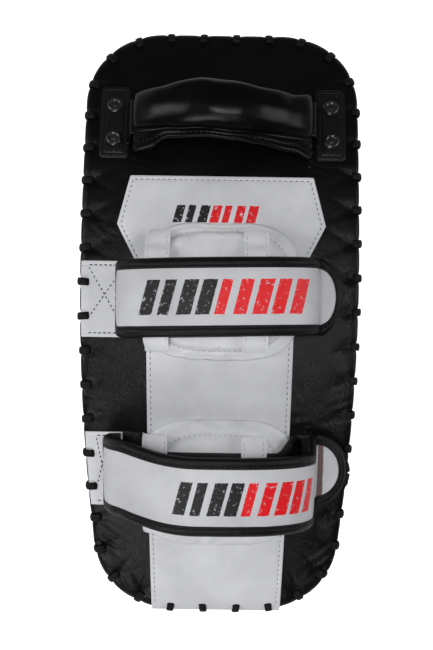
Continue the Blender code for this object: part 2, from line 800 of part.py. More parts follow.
def droop_of_tongue(strap, x):
    """The tongue meets the tail's own line across the pad."""
    return 2 * strap["rise"] * min(max((x + 0.0525) / 0.105, 0.0), 1.0)


def make_loop(strap):
    """The loop patch on the tongue, that the tail closes on."""
    low = THICKNESS + TONGUE_H + ROOT_LEG + GAP
    patch = flat_shape(f"{strap['name']}_loop_patch", tail_outline(strap, 0.0015, CUSHION_HALF_X + 0.0035),
                       low, low + LOOP)
    slice_rows(patch)
    bend(patch)
    done(patch, "hook_and_loop")


# ---------------------------------------------------------------- forearm cushions

def cushion_point(strap, unit, inset):
    """Takes a point of the unit sphere onto the cushion. The lower half is pressed flat on the pad."""
    angle = math.atan2(unit.y, unit.x)
    share = math.hypot(unit.x, unit.y) ** 0.9
    c, s = math.cos(angle), math.sin(angle)
    x = (CUSHION_HALF_X - inset) * share * math.copysign(abs(c) ** (2 / CUSHION_POWER), c)
    y = (strap["cushion_half_y"] - inset) * share * math.copysign(abs(s) ** (2 / CUSHION_POWER), s)
    low = CUSHION_BASE + inset * 0.3
    high = (CUSHION_HIGH - CUSHION_BASE - inset * 1.3) * max(unit.z, 0.0) ** 0.8
    return on_back(x, strap["cushion_y"] + y, low + high)


def cushion_top(strap, x, y):
    """Height of the cushion cover's outer side above the back face, at x, y."""
    u = abs(x) / CUSHION_HALF_X
    v = abs(y - strap["cushion_y"]) / strap["cushion_half_y"]
    share = (u ** CUSHION_POWER + v ** CUSHION_POWER) ** (1 / CUSHION_POWER)
    across = min(1.0, share) ** (1 / 0.9)
    return CUSHION_BASE + (CUSHION_HIGH - CUSHION_BASE) * (1 - across * across) ** 0.4


def make_cushion(strap):
    name = strap["name"]
    bpy.ops.mesh.primitive_uv_sphere_add(segments=20, ring_count=10, radius=1)
    cover = adopted(f"{name}_cushion_cover")
    work = bmesh.new()
    work.from_mesh(cover.data)
    bmesh.ops.delete(work, geom=[v for v in work.verts if v.co.z < -1e-4], context="VERTS")
    work.to_mesh(cover.data)
    work.free()
    for vertex in cover.data.vertices:
        vertex.co = cushion_point(strap, vertex.co, 0.0)
    shell = cover.modifiers.new("skin", "SOLIDIFY")
    shell.thickness = CUSHION_SKIN
    shell.offset = -1.0
    cover = applied(cover)
    for vertex in cover.data.vertices:
        vertex.co.z = max(vertex.co.z, on_back(vertex.co.x, vertex.co.y, CUSHION_BASE).z)
    done(cover, "white_leather")

    bpy.ops.mesh.primitive_uv_sphere_add(segments=16, ring_count=8, radius=1)
    foam = adopted(f"{name}_cushion_foam")
    for vertex in foam.data.vertices:
        vertex.co = cushion_point(strap, vertex.co, CUSHION_SKIN + 0.0026)
    done(applied(foam), "foam")


def make_keepers(strap):
    """The two leather loops on the cushion that the strap's sewn leg passes through."""
    for side, x in zip(("left", "right"), KEEPER_X):
        reach = strap["cushion_half_y"] - 0.0060
        ys = spread(-reach, reach, 14)

        def point(u, v):
            y = strap["cushion_y"] + v
            near = abs(y - strap["y"] - 0.0015)
            bump = (ROOT_LEG + 0.0022) * min(1.0, max(0.0, (0.0345 - near) / 0.0045))
            lift = max(cushion_top(strap, x + u + step, y + side_step)
                       for step in (-0.004, 0.0, 0.004) for side_step in (-0.003, 0.0, 0.003))
            return on_back(x + u, y, lift + 0.0010 + bump)

        keeper = sheet(f"{strap['name']}_keeper_{side}", [-KEEPER_HALF, 0.0, KEEPER_HALF], ys, point, KEEPER)
        done(keeper, "white_leather")


# ---------------------------------------------------------------- assembly

def pivot(name, place):
    empty = bpy.data.objects.new(name, None)
    empty.location = place
    PARTS.objects.link(empty)
    return empty


def build():
    make_covers()
    make_core()
    make_lacing()
    make_panel()
    make_rivets()
    make_handle_ends()
    make_handle(pivot("handle_pivot", on_back(0, HINGE_Y, HINGE_H)))
    for strap in (UPPER, LOWER):
        make_anchor(strap)
        make_cushion(strap)
        make_root_leg(strap)
        make_keepers(strap)
        make_loop(strap)
        name = strap["name"]
        make_arm(strap, pivot(f"{name}_arm_pivot", on_back(strap["fold_x"] - OUTER, strap["y"], FOLD_H)))
        tail_top = TONGUE_H + ROOT_LEG + GAP + LOOP + GAP + HOOK + GAP + FACE
        make_tail(strap, pivot(f"{name}_tail_pivot", on_back(tail_start(strap), centre_line(strap), tail_top)))


clear_scene()
PARTS = bpy.data.collections.new("thai_pad")
bpy.context.scene.collection.children.link(PARTS)
SHADES = {name: make_material(name) for name in MATERIALS}
build()
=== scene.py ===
"""A curved Thai kick pad, laid out as a Blender add-on and run as a script: a laced leather block with
a riveted grip handle, two padded forearm cushions and two hook-and-loop arm straps."""

import math

import bmesh
import bpy
from bpy.props import FloatProperty, FloatVectorProperty, IntProperty, PointerProperty
from mathutils import Matrix, Vector, noise


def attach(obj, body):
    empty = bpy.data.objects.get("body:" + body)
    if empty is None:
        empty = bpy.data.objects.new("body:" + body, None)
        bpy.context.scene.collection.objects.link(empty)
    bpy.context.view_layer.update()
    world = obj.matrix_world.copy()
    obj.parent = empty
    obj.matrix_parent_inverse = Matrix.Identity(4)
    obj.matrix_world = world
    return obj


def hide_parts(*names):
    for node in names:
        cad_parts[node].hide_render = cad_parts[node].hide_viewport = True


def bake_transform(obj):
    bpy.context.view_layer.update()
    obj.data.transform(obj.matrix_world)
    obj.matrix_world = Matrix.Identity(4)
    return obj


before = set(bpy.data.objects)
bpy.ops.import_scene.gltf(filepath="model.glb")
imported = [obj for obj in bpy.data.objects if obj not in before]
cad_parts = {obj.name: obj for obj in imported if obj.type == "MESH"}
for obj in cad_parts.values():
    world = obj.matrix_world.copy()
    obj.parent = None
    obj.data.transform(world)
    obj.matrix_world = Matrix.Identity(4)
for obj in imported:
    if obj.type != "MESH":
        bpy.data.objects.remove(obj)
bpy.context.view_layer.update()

bl_info = {
    "name": "Thai pad",
    "version": (1, 0, 0),
    "blender": (4, 5, 0),
    "location": "3D View > Sidebar > Thai pad",
    "description": "Builds the leather, laces, straps and cushions of a curved kick pad",
    "category": "Add Mesh",
}

# ---------------------------------------------------------------- layout, the same as the solids'

HALF_LENGTH, HALF_WIDTH, THICKNESS = 0.1995, 0.0902, 0.090
WAIST_START_Y, WAIST_LOSS, WAIST_REACH = 0.050, 0.0095, 0.200
TOP_CORNER, BOTTOM_CORNER = 0.050, 0.056
BACK_RADIUS, STRIKE_SHARE, STRIKE_RIM = 0.520, 0.6, 0.014
GAP = 0.0003
LACES = 46
SHIELD_TOP_Y, SHIELD_TOP_X = 0.0975, 0.061
SHIELD_POINT_Y, SHIELD_POINT_X = 0.0645, 0.069
STRIP_TOP_Y, STRIP_TOP_X = 0.026, 0.049
STRIP_END_Y, STRIP_END_X = -0.2009, 0.0445
HANDLE_Y, HINGE_Y, HINGE_H, HANDLE_LEAN = 0.1345, 0.1325, 0.0050, 9.0
TAB_X, TAB_HALF_X, TAB_HALF_Y, HANDLE_TAB = 0.0730, 0.0096, 0.0250, 0.0030
RIVET_Y = 0.0118
GRIP_HALF = 0.0590
GRIP_END_H, GRIP_MID_H = 0.0165, 0.0390
GRIP_END_WIDE, GRIP_MID_WIDE = 0.0145, 0.0192
GRIP_END_THICK, GRIP_MID_THICK = 0.0070, 0.0098
STRAP_HALF, TAB = 0.0250, 0.0015
LINING, FACE, OUTER = 0.0025, 0.0012, 0.0045
ROOT_LEG, ROOT_RISE, TONGUE_H = 0.0016, 0.0012, 0.0033
LOOP, HOOK = 0.0010, 0.0012
FOLD_H, CREASE_H, ARCH_POWER = 0.0085, 0.0092, 2.8
CUSHION_HALF_X, CUSHION_HIGH, CUSHION_POWER, CUSHION_BASE = 0.0525, 0.0175, 3.2, 0.0018
KEEPER, KEEPER_HALF, KEEPER_X = 0.0013, 0.0080, (-0.0410, 0.0230)
CAP_RADIUS, CAP_HEIGHT = 0.0056, 0.0022
ANCHOR_RIVET_IN, TAIL_GAP = -0.0005, 0.0006

UPPER = {
    "name": "upper", "y": 0.0145, "fold_x": -0.0635, "crease_x": 0.0600, "tail_x": 0.0780,
    "tongue_x": 0.0790, "high": 0.0345, "droop": 0.0, "rise": 0.0015,
    "cushion_y": 0.0205, "cushion_half_y": 0.0455, "seam_in": 0.0062, "root_top": 0.0250,
    "tip": 0.0028, "tail_up": 0.0, "print": (-0.048, -0.0035, 0.0556),
    "print_y": (-0.0110, 0.0108),
}
LOWER = {
    "name": "lower", "y": -0.0985, "fold_x": -0.0700, "crease_x": 0.0590, "tail_x": 0.0845,
    "tongue_x": 0.0865, "high": 0.0560, "droop": 0.0085, "rise": 0.0,
    "cushion_y": -0.1075, "cushion_half_y": 0.0433, "seam_in": 0.0095, "root_top": 0.0138,
    "tip": 0.0046, "tail_up": 0.0018, "print": (-0.025, 0.0195, 0.0585),
    "print_y": (-0.0108, 0.0100),
}
STRAPS = (UPPER, LOWER)

# Distances in from a leather piece's edge, close together where its seam lies.
EDGE_STATIONS = (0.0, 0.0005, 0.0012, 0.0018, 0.0024, 0.0030, 0.0038, 0.0052, 0.0080)
SEAM_INSET = 0.0024


# ---------------------------------------------------------------- what a user may change

def length(name, words, default):
    return FloatProperty(name=name, description=words, default=default, unit="LENGTH", precision=5)


def colour(name, words, *default):
    return FloatVectorProperty(name=name, description=words, default=default, subtype="COLOR",
                               size=3, min=0, max=1)


class PadSizes(bpy.types.PropertyGroup):
    lace_half_width: length("Lace half width", "Half the width of the edge lace", 0.0026)
    lace_half_height: length("Lace half height", "Half the thickness of the edge lace", 0.0008)
    pucker: length("Pucker", "How deep each lace pulls into the leather", 0.0010)
    wave: length("Wave", "How far the loose leather rises and falls", 0.0003)
    stitch_pitch: length("Stitch pitch", "From one stitch to the next", 0.0037)
    stitch_length: length("Stitch length", "Length of one stitch", 0.0018)
    thread_radius: length("Thread radius", "Half the thickness of the thread", 0.00035)
    strap_crown: length("Strap crown", "How far a strap's face rises between its bindings", 0.0005)
    seam_depth: length("Seam depth", "How far a seam pulls into leather", 0.0004)
    cushion_seam: length("Cushion seam", "How far the seam pulls into a cushion", 0.0022)
    cushion_puff: length("Cushion puff", "The most that the filling moves a cushion's leather",
                         0.0050)
    grain: length("Leather grain", "Width of one cell of the leather's grain", 0.0011)
    bars: IntProperty(name="Printed bars", description="Slanted bars printed on a strap", default=9,
                      min=1)
    slant: FloatProperty(name="Slant", description="How far the printed bars lean",
                         default=math.radians(14),
                         subtype="ANGLE")


class PadColours(bpy.types.PropertyGroup):
    black: colour("Black leather", "Grained leather of the block", 0.0022, 0.0022, 0.0026)
    smooth: colour("Smooth leather", "Glossy leather of the grip", 0.0018, 0.0018, 0.0022)
    white: colour("White leather", "Panel, straps and cushions", 0.80, 0.805, 0.845)
    binding: colour("Binding", "Leather folded over the strap edges", 0.0022, 0.0022, 0.0028)
    lace: colour("Lace", "Edge lace", 0.0025, 0.0025, 0.003)
    thread: colour("Thread", "Thread on white leather", 0.055, 0.055, 0.065)
    ink: colour("Dark print", "First bars of the print", 0.004, 0.004, 0.005)
    red: colour("Red print", "Last bars of the print", 0.86, 0.006, 0.012)
    # Painted crease shade: brown painted into the lower strap's fold, partly the leather's brown underside and
    # partly shade with reflected red from the print.
    backing_and_crease_shade: colour("Backing", "Brown backing where the leather cracks", 0.105, 0.042, 0.036)
    nap: colour("Nap", "Hook and loop", 0.010, 0.010, 0.011)


def sizes():
    return bpy.context.scene.thai_pad_sizes


def colours():
    return bpy.context.scene.thai_pad_colours


# ---------------------------------------------------------------- the pad's curve and outline

def mid(a, b, share):
    return a + (b - a) * share


def smooth(share):
    share = min(max(share, 0.0), 1.0)
    return share * share * (3 - 2 * share)


def hump(distance, reach):
    return math.exp(-(distance / reach) ** 2)


def spread(low, high, count):
    return [mid(low, high, i / count) for i in range(count + 1)]


def parabola(y):
    return y * y / (2 * BACK_RADIUS)


LIFT = STRIKE_SHARE * parabola(HALF_LENGTH - STRIKE_RIM) - 0.0010


def curved(x, y, z):
    """A point of the flat layout, on the curved pad."""
    share = STRIKE_SHARE + (1 - STRIKE_SHARE) * min(max(z / THICKNESS, 0.0), 1.0)
    return Vector((x, y, z - parabola(y) * share + LIFT))


def on_back(x, y, h):
    return curved(x, y, THICKNESS + h)


def up_from_back(y):
    return Vector((0, y / BACK_RADIUS, 1)).normalized()


def half_width(y):
    lost = max(0.0, WAIST_START_Y - y) / WAIST_REACH
    return HALF_WIDTH - WAIST_LOSS * lost * lost


def rim_points(steps=60):
    """The pad's outline, anticlockwise from the middle of its lower end."""
    low_y, high_y = -HALF_LENGTH + BOTTOM_CORNER, HALF_LENGTH - TOP_CORNER
    low_x, high_x = half_width(low_y) - BOTTOM_CORNER, HALF_WIDTH - TOP_CORNER
    right = [Vector((0, -HALF_LENGTH))]
    for a in spread(-math.pi / 2, 0, steps):
        right.append(Vector((low_x + BOTTOM_CORNER * math.cos(a),
                             low_y + BOTTOM_CORNER * math.sin(a))))
    right += [Vector((half_width(y), y)) for y in spread(low_y, high_y, steps)[1:-1]]
    for a in spread(0, math.pi / 2, steps):
        right.append(Vector((high_x + TOP_CORNER * math.cos(a), high_y + TOP_CORNER * math.sin(a))))
    right.append(Vector((0, HALF_LENGTH)))
    return right + [Vector((-p.x, p.y)) for p in reversed(right[1:-1])]


RIM = rim_points()
RIM_RUNS = [0.0]
for a, b in zip(RIM, RIM[1:] + RIM[:1]):
    RIM_RUNS.append(RIM_RUNS[-1] + (b - a).length)
RIM_LENGTH = RIM_RUNS[-1]
FIRST_LACE = (half_width(-HALF_LENGTH + BOTTOM_CORNER) - BOTTOM_CORNER) / RIM_LENGTH + 0.5 / LACES


def rim_out(i):
    ahead = RIM[(i + 1) % len(RIM)] - RIM[i - 1]
    return Vector((ahead.y, -ahead.x)).normalized()


def rim_at(share):
    """The outline's point at a share of its length, and the direction outwards there."""
    want = (share % 1.0) * RIM_LENGTH
    low, high = 0, len(RIM)
    while high - low > 1:
        middle = (low + high) // 2
        low, high = (middle, high) if RIM_RUNS[middle] <= want else (low, middle)
    part = (want - RIM_RUNS[low]) / (RIM_RUNS[low + 1] - RIM_RUNS[low])
    after = (low + 1) % len(RIM)
    return RIM[low].lerp(RIM[after], part), rim_out(low).lerp(rim_out(after), part).normalized()


def lace_gap(share):
    """Distance along the outline to the nearest lace."""
    phase = (share - FIRST_LACE) * LACES
    return (phase - round(phase)) * RIM_LENGTH / LACES


# ---------------------------------------------------------------- tools

def deselected():
    if bpy.context.mode != "OBJECT":
        bpy.ops.object.mode_set(mode="OBJECT")
    bpy.ops.object.select_all(action="DESELECT")


def sole(obj):
    deselected()
    obj.select_set(True)
    bpy.context.view_layer.objects.active = obj
    return obj


def laid(name, columns, rows, place, uv=None):
    """A grid of columns by rows faces, whose corner i, j lies at place(i, j)."""
    deselected()
    bpy.ops.mesh.primitive_grid_add(x_subdivisions=columns, y_subdivisions=rows, size=2)
    obj = bpy.context.object
    obj.name = obj.data.name = name
    spots = [(round((v.co.x + 1) / 2 * columns),
              round((v.co.y + 1) / 2 * rows)) for v in obj.data.vertices]
    for vertex, (i, j) in zip(obj.data.vertices, spots):
        vertex.co = place(i, j)
    if uv:
        layer = obj.data.uv_layers.active.data
        for loop in obj.data.loops:
            layer[loop.index].uv = uv(*spots[loop.vertex_index])
    return obj


def applied(obj):
    sole(obj)
    for modifier in list(obj.modifiers):
        bpy.ops.object.modifier_apply(modifier=modifier.name)
    return obj


def welded(obj, distance=1e-6, capped=False):
    """Merges what meets, closes open ends if capped, and turns the faces outwards."""
    sole(obj)
    bpy.ops.object.mode_set(mode="EDIT")
    bpy.ops.mesh.select_mode(type="VERT")
    bpy.ops.mesh.select_all(action="SELECT")
    bpy.ops.mesh.remove_doubles(threshold=distance)
    if capped:
        bpy.ops.mesh.select_all(action="DESELECT")
        bpy.ops.mesh.select_non_manifold()
        bpy.ops.mesh.edge_face_add()
        bpy.ops.mesh.select_all(action="SELECT")
    bpy.ops.mesh.normals_make_consistent(inside=False)
    bpy.ops.object.mode_set(mode="OBJECT")
    return obj


def with_wall(obj, thickness, rounding=0.0003, offset=1.0):
    """Gives a sheet its thickness and rounds its edges."""
    wall = obj.modifiers.new("wall", "SOLIDIFY")
    wall.thickness, wall.offset, wall.use_even_offset = thickness, offset, False
    if rounding:
        edge = obj.modifiers.new("edge", "BEVEL")
        edge.width, edge.segments, edge.limit_method, edge.angle_limit = rounding, 2, "ANGLE", math.radians(50)
    return welded(applied(obj))


def finished(obj, finish, body=None, replaces=(), angle=42):
    sole(obj)
    bpy.ops.object.shade_smooth_by_angle(angle=math.radians(angle))
    obj.data.materials.clear()
    obj.data.materials.append(bpy.data.materials[finish])
    if body:
        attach(obj, body)
    if replaces:
        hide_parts(*replaces)
    return obj


def swept(name, points, section, closed=False, up=Vector((0, 0, 1))):
    """A closed section of (side, height) points carried along a line of points."""
    count, sides = len(points), len(section)

    def place(i, j):
        here = points[i % count]
        if closed:
            ahead = points[(i + 1) % count] - points[i - 1]
        else:
            ahead = points[min(i + 1, count - 1)] - points[max(i - 1, 0)]
        side = up.cross(ahead).normalized()
        across, high = section[j % sides]
        return here + side * across + ahead.cross(side).normalized() * high

    obj = laid(name, count if closed else count - 1, sides, place)
    return welded(obj, 1e-7, capped=not closed)


def rounded(wide, high, sides=10):
    return [(wide * math.cos(a), high * math.sin(a)) for a in spread(0, math.tau, sides)[:-1]]


def runs_of(points):
    runs = [0.0]
    for a, b in zip(points, points[1:]):
        runs.append(runs[-1] + (b - a).length)
    return runs


def threads(name, lines, pitch=None, dash=None):
    """Rows of stitches. A line is (point, up) pairs. One stitch is modelled and copied along them."""
    pitch, dash, radius = pitch or sizes().stitch_pitch, dash or sizes().stitch_length, sizes().thread_radius
    deselected()
    bpy.ops.mesh.primitive_cube_add(size=1)
    stitch = bpy.context.object
    stitch.name = stitch.data.name = name
    bpy.ops.object.mode_set(mode="EDIT")
    bpy.ops.transform.resize(value=(dash, 2 * radius, 2 * radius))
    bpy.ops.mesh.bevel(offset=radius * 0.7, segments=1)
    bpy.ops.object.mode_set(mode="OBJECT")
    work = bmesh.new()
    for line in lines:
        points, ups = [Vector(p) for p, _ in line], [u for _, u in line]
        runs = runs_of(points)
        count = max(1, round(runs[-1] / pitch))
        i = 0
        for k in range(count):
            want = (k + 0.5) * runs[-1] / count
            while runs[i + 1] < want:
                i += 1
            part = (want - runs[i]) / max(runs[i + 1] - runs[i], 1e-9)
            ahead = (points[i + 1] - points[i]).normalized()
            side = ups[i].lerp(ups[i + 1], part).cross(ahead).normalized()
            turn = Matrix((ahead, side, ahead.cross(side))).transposed().to_4x4()
            copy = stitch.data.copy()
            copy.transform(Matrix.Translation(points[i].lerp(points[i + 1], part)) @ turn)
            work.from_mesh(copy)
            bpy.data.meshes.remove(copy)
    work.to_mesh(stitch.data)
    work.free()
    return stitch


def edge_stations(low, high, count):
    """Places from low to high, close together near both."""
    reach = EDGE_STATIONS[-1]
    inner = spread(low + reach, high - reach, count)[1:-1]
    return [low + e for e in EDGE_STATIONS] + inner + [high - e for e in reversed(EDGE_STATIONS)]


def seam_dip(inset):
    return -sizes().seam_depth * hump(inset - SEAM_INSET, 0.0007) - 0.0003 * hump(inset, 0.0007)


# ---------------------------------------------------------------- finishes

def put(tree, kind, inputs=None, **settings):
    """A new node. Each input is a value, or a socket to link."""
    node = tree.nodes.new(kind)
    for key, value in settings.items():
        setattr(node, key, value)
    for key, value in (inputs or {}).items():
        if isinstance(value, bpy.types.NodeSocket):
            tree.links.new(value, node.inputs[key])
        else:
            node.inputs[key].default_value = value
    return node


def sums(tree, operation, *values, clamp=False):
    node = put(tree, "ShaderNodeMath", dict(enumerate(values)), operation=operation,
               use_clamp=clamp)
    return node.outputs[0]


def blended(tree, share, a, b):
    node = put(tree, "ShaderNodeMix", {0: share, 6: a, 7: b}, data_type="RGBA")
    return node.outputs[2]


def ranged(tree, value, low, high, to_low=0.0, to_high=1.0):
    node = put(tree, "ShaderNodeMapRange", {0: value, 1: low, 2: high, 3: to_low, 4: to_high})
    return node.outputs[0]


def new_group(name, inputs, outputs):
    """A node group with named sockets. It returns its tree, its input node's sockets and its output node."""
    tree = bpy.data.node_groups.new(name, "ShaderNodeTree")
    for socket, kind, value in inputs:
        made = tree.interface.new_socket(socket, in_out="INPUT", socket_type=kind)
        if value is not None:
            made.default_value = value
    for socket in outputs:
        tree.interface.new_socket(socket, in_out="OUTPUT", socket_type="NodeSocketFloat")
    return tree, tree.nodes.new("NodeGroupInput").outputs, tree.nodes.new("NodeGroupOutput")


def give(tree, out, **values):
    for name, socket in values.items():
        tree.links.new(socket, out.inputs[name.replace("_", " ")])


VECTOR, FLOAT = "NodeSocketVector", "NodeSocketFloat"


def make_grain_group():
    """Cells of leather grain with fine pores, and a slow tone that varies over a hand's width."""
    tree, at, out = new_group("Leather grain", [("Vector", VECTOR, None), ("Cell", FLOAT, 0.0011)],
                              ["Height", "Tone", "Pores"])
    scale = sums(tree, "DIVIDE", 1.0, at["Cell"])
    wobble = put(tree, "ShaderNodeTexNoise",
                 {"Vector": at["Vector"], "Scale": 420.0, "Detail": 2.0})
    moved = put(tree, "ShaderNodeVectorMath", {0: wobble.outputs["Color"], 1: (0.0007,) * 3},
                operation="MULTIPLY")
    place = put(tree, "ShaderNodeVectorMath", {0: at["Vector"], 1: moved.outputs[0]},
                operation="ADD")
    cells = put(tree, "ShaderNodeTexVoronoi", {"Vector": place.outputs[0], "Scale": scale},
                feature="DISTANCE_TO_EDGE")
    hills = ranged(tree, cells.outputs["Distance"], 0.0, 0.32)
    fine = put(tree, "ShaderNodeTexNoise", {"Vector": at["Vector"], "Scale": 2600.0, "Detail": 3.0})
    slow = put(tree, "ShaderNodeTexNoise",
               {"Vector": at["Vector"], "Scale": 26.0, "Detail": 4.0, "Roughness": 0.6})
    height = sums(tree, "ADD", sums(tree, "MULTIPLY", hills, 0.75),
                  sums(tree, "MULTIPLY", fine.outputs[0], 0.25))
    pores = ranged(tree, fine.outputs[0], 0.62, 0.72)
    give(tree, out, Height=height, Tone=ranged(tree, slow.outputs[0], 0.3, 0.7), Pores=pores)


def make_crease_group():
    """Long soft creases of worked leather."""
    tree, at, out = new_group("Creases", [("Vector", VECTOR, None), ("Width", FLOAT, 0.010)],
                              ["Height"])
    scale = sums(tree, "DIVIDE", 1.0, at["Width"])
    ridges = put(tree, "ShaderNodeTexNoise", {"Vector": at["Vector"], "Scale": scale, "Detail": 3.0,
                                              "Roughness": 0.45, "Distortion": 0.5},
                                              noise_type="RIDGED_MULTIFRACTAL")
    give(tree, out, Height=ranged(tree, ridges.outputs[0], 0.2, 1.6))


def make_scuff_group():
    """Dust and rub marks: broad patches broken up by fine streaks."""
    tree, at, out = new_group("Scuffs", [("Vector", VECTOR, None), ("Amount", FLOAT, 0.5)],
                              ["Mask"])
    broad = put(tree, "ShaderNodeTexNoise",
                {"Vector": at["Vector"], "Scale": 38.0, "Detail": 5.0, "Roughness": 0.65})
    turned = put(tree, "ShaderNodeMapping",
                 {"Vector": at["Vector"], "Rotation": (0, 0, 0.6), "Scale": (900, 140, 500)})
    streaks = put(tree, "ShaderNodeTexNoise",
                  {"Vector": turned.outputs[0], "Scale": 1.0, "Detail": 3.0})
    edge = sums(tree, "SUBTRACT", 0.72, sums(tree, "MULTIPLY", at["Amount"], 0.25))
    mask = ranged(tree, broad.outputs[0], edge, sums(tree, "ADD", edge, 0.2))
    give(tree, out, Mask=sums(tree, "MULTIPLY", mask, ranged(tree, streaks.outputs[0], 0.42, 0.62)))


def make_bars_group():
    """Two runs of worn, slanted printed bars between Start and End, that change at Change."""
    places = [(n, FLOAT, 0.0) for n in ("Start", "Change", "End", "Low", "High", "Pitch", "Slant")]
    tree, at, out = new_group("Worn bars", [("Vector", VECTOR, None)] + places, ["Dark", "Red"])
    parts = put(tree, "ShaderNodeSeparateXYZ", {0: at["Vector"]})
    ragged = put(tree, "ShaderNodeTexNoise",
                 {"Vector": at["Vector"], "Scale": 700.0, "Detail": 3.0})
    rough = sums(tree, "MULTIPLY", sums(tree, "SUBTRACT", ragged.outputs[0], 0.5), 0.0011)
    y = sums(tree, "ADD", parts.outputs[1], rough)
    middle = sums(tree, "MULTIPLY", sums(tree, "ADD", at["Low"], at["High"]), 0.5)
    lean = sums(tree, "MULTIPLY", sums(tree, "SUBTRACT", y, middle), at["Slant"])
    x = sums(tree, "ADD", sums(tree, "SUBTRACT", parts.outputs[0], lean), rough)
    step = sums(tree, "DIVIDE", sums(tree, "SUBTRACT", x, at["Start"]), at["Pitch"])
    chance = put(tree, "ShaderNodeTexWhiteNoise", {"W": sums(tree, "FLOOR", step)},
                 noise_dimensions="1D")
    bar = sums(tree, "LESS_THAN", sums(tree, "FRACT", step),
               ranged(tree, chance.outputs[0], 0, 1, 0.56, 0.80))
    within = sums(tree, "MULTIPLY", sums(tree, "GREATER_THAN", x, at["Start"]),
                  sums(tree, "LESS_THAN", x, at["End"]))
    tall = sums(tree, "MULTIPLY", sums(tree, "GREATER_THAN", y, at["Low"]),
                sums(tree, "LESS_THAN", y, at["High"]))
    worn = put(tree, "ShaderNodeTexNoise",
               {"Vector": at["Vector"], "Scale": 330.0, "Detail": 6.0, "Roughness": 0.75})
    kept = ranged(tree, worn.outputs[0], 0.37, 0.42)
    mask = sums(tree, "MULTIPLY", sums(tree, "MULTIPLY", bar, kept),
                sums(tree, "MULTIPLY", within, tall))
    late = sums(tree, "GREATER_THAN", x, at["Change"])
    give(tree, out, Dark=sums(tree, "MULTIPLY", mask, sums(tree, "SUBTRACT", 1.0, late)),
         Red=sums(tree, "MULTIPLY", mask, late))


def make_nap_group():
    """Short fibres that stand in all directions."""
    tree, at, out = new_group("Nap", [("Vector", VECTOR, None), ("Fibre", FLOAT, 0.0004)],
                              ["Height", "Tone"])
    scale = sums(tree, "DIVIDE", 1.0, at["Fibre"])
    fuzz = put(tree, "ShaderNodeTexNoise",
               {"Vector": at["Vector"], "Scale": scale, "Detail": 5.0, "Roughness": 0.8,
                                            "Distortion": 1.5})
    tufts = put(tree, "ShaderNodeTexVoronoi",
                {"Vector": at["Vector"], "Scale": sums(tree, "MULTIPLY", scale, 0.45)})
    give(tree, out, Height=sums(tree, "SUBTRACT", fuzz.outputs[0],
                                sums(tree, "MULTIPLY", tufts.outputs[0], 0.4)),
         Tone=ranged(tree, fuzz.outputs[0], 0.3, 0.7))


def make_weave_group():
    """Over and under threads of a plain weave."""
    tree, at, out = new_group("Weave", [("Vector", VECTOR, None), ("Thread", FLOAT, 0.0006)],
                              ["Height"])
    scale = sums(tree, "DIVIDE", 0.5, at["Thread"])
    waves = [put(tree, "ShaderNodeTexWave",
                 {"Vector": at["Vector"], "Scale": sums(tree, "MULTIPLY", scale, 0.31)},
                 bands_direction=axis).outputs["Fac"] for axis in "XY"]
    give(tree, out, Height=sums(tree, "MULTIPLY", *waves))


def group(tree, name, vector, **values):
    node = put(tree, "ShaderNodeGroup", node_tree=bpy.data.node_groups[name])
    tree.links.new(vector, node.inputs["Vector"])
    for key, value in values.items():
        node.inputs[key].default_value = value
    return node.outputs


def new_finish(name, **sockets):
    """A material, its tree and its shader, with the values that are the same all over set on the shader."""
    material = bpy.data.materials.new(name)
    material.use_nodes = True
    shader = material.node_tree.nodes["Principled BSDF"]
    for socket, value in sockets.items():
        shader.inputs[socket.replace("_", " ")].default_value = value
    return material.node_tree, shader


def bumped(tree, shader, *layers):
    """Bumps the surface with (height, depth in metres) layers, one over the other."""
    normal = None
    for height, depth in layers:
        bump = put(tree, "ShaderNodeBump", {"Height": height, "Distance": depth, "Strength": 1.0})
        if normal:
            tree.links.new(normal, bump.inputs["Normal"])
        normal = bump.outputs[0]
    tree.links.new(normal, shader.inputs["Normal"])


def rgba(value, gain=1.0):
    return (*[min(1.0, c * gain) for c in value], 1.0)


def leather(name, tone, roughness, spread_of_gloss, depth, cell, crease, crease_depth, scuff, dust,
            attribute=None,
            **sockets):
    """Dyed leather: grain, creases, gloss that varies, and rubbed places."""
    tree, shader = new_finish(name, **sockets)
    place = put(tree, "ShaderNodeTexCoord").outputs["Object"]
    grain = group(tree, "Leather grain", place, Cell=cell)
    folds = group(tree, "Creases", place, Width=crease)["Height"]
    rubs = group(tree, "Scuffs", place, Amount=scuff)["Mask"]
    base = blended(tree, grain["Tone"], rgba(tone, 0.86), rgba(tone, 1.08))
    base = blended(tree, sums(tree, "MULTIPLY", rubs, dust), base,
                   rgba([mid(c, 0.5, 0.12) for c in tone]))
    rough = ranged(tree, grain["Tone"], 0, 1, roughness - spread_of_gloss,
                   roughness + spread_of_gloss)
    rough = sums(tree, "ADD", rough, sums(tree, "MULTIPLY", rubs, 0.18), clamp=True)
    tree.links.new(base, shader.inputs["Base Color"])
    tree.links.new(rough, shader.inputs["Roughness"])
    layers = [(folds, crease_depth), (grain["Height"], depth)]
    if attribute:
        worked = put(tree, "ShaderNodeAttribute", attribute_name=attribute).outputs["Fac"]
        tight = group(tree, "Creases", place, Width=0.0045)["Height"]
        layers.insert(0, (sums(tree, "MULTIPLY", worked, tight), 0.0014))
    bumped(tree, shader, *layers)
    return tree, shader, base, place


def printed(tree, shader, base, vector, strap_print, low, high, pitch):
    """Prints worn bars over a finish's colour."""
    start, change, end = strap_print
    bars = group(tree, "Worn bars", vector, Start=start, Change=change, End=end, Low=low, High=high,
                 Pitch=pitch,
                 Slant=math.tan(sizes().slant))
    base = blended(tree, bars["Dark"], base, rgba(colours().ink))
    base = blended(tree, bars["Red"], base, rgba(colours().red))
    tree.links.new(base, shader.inputs["Base Color"])
    return base


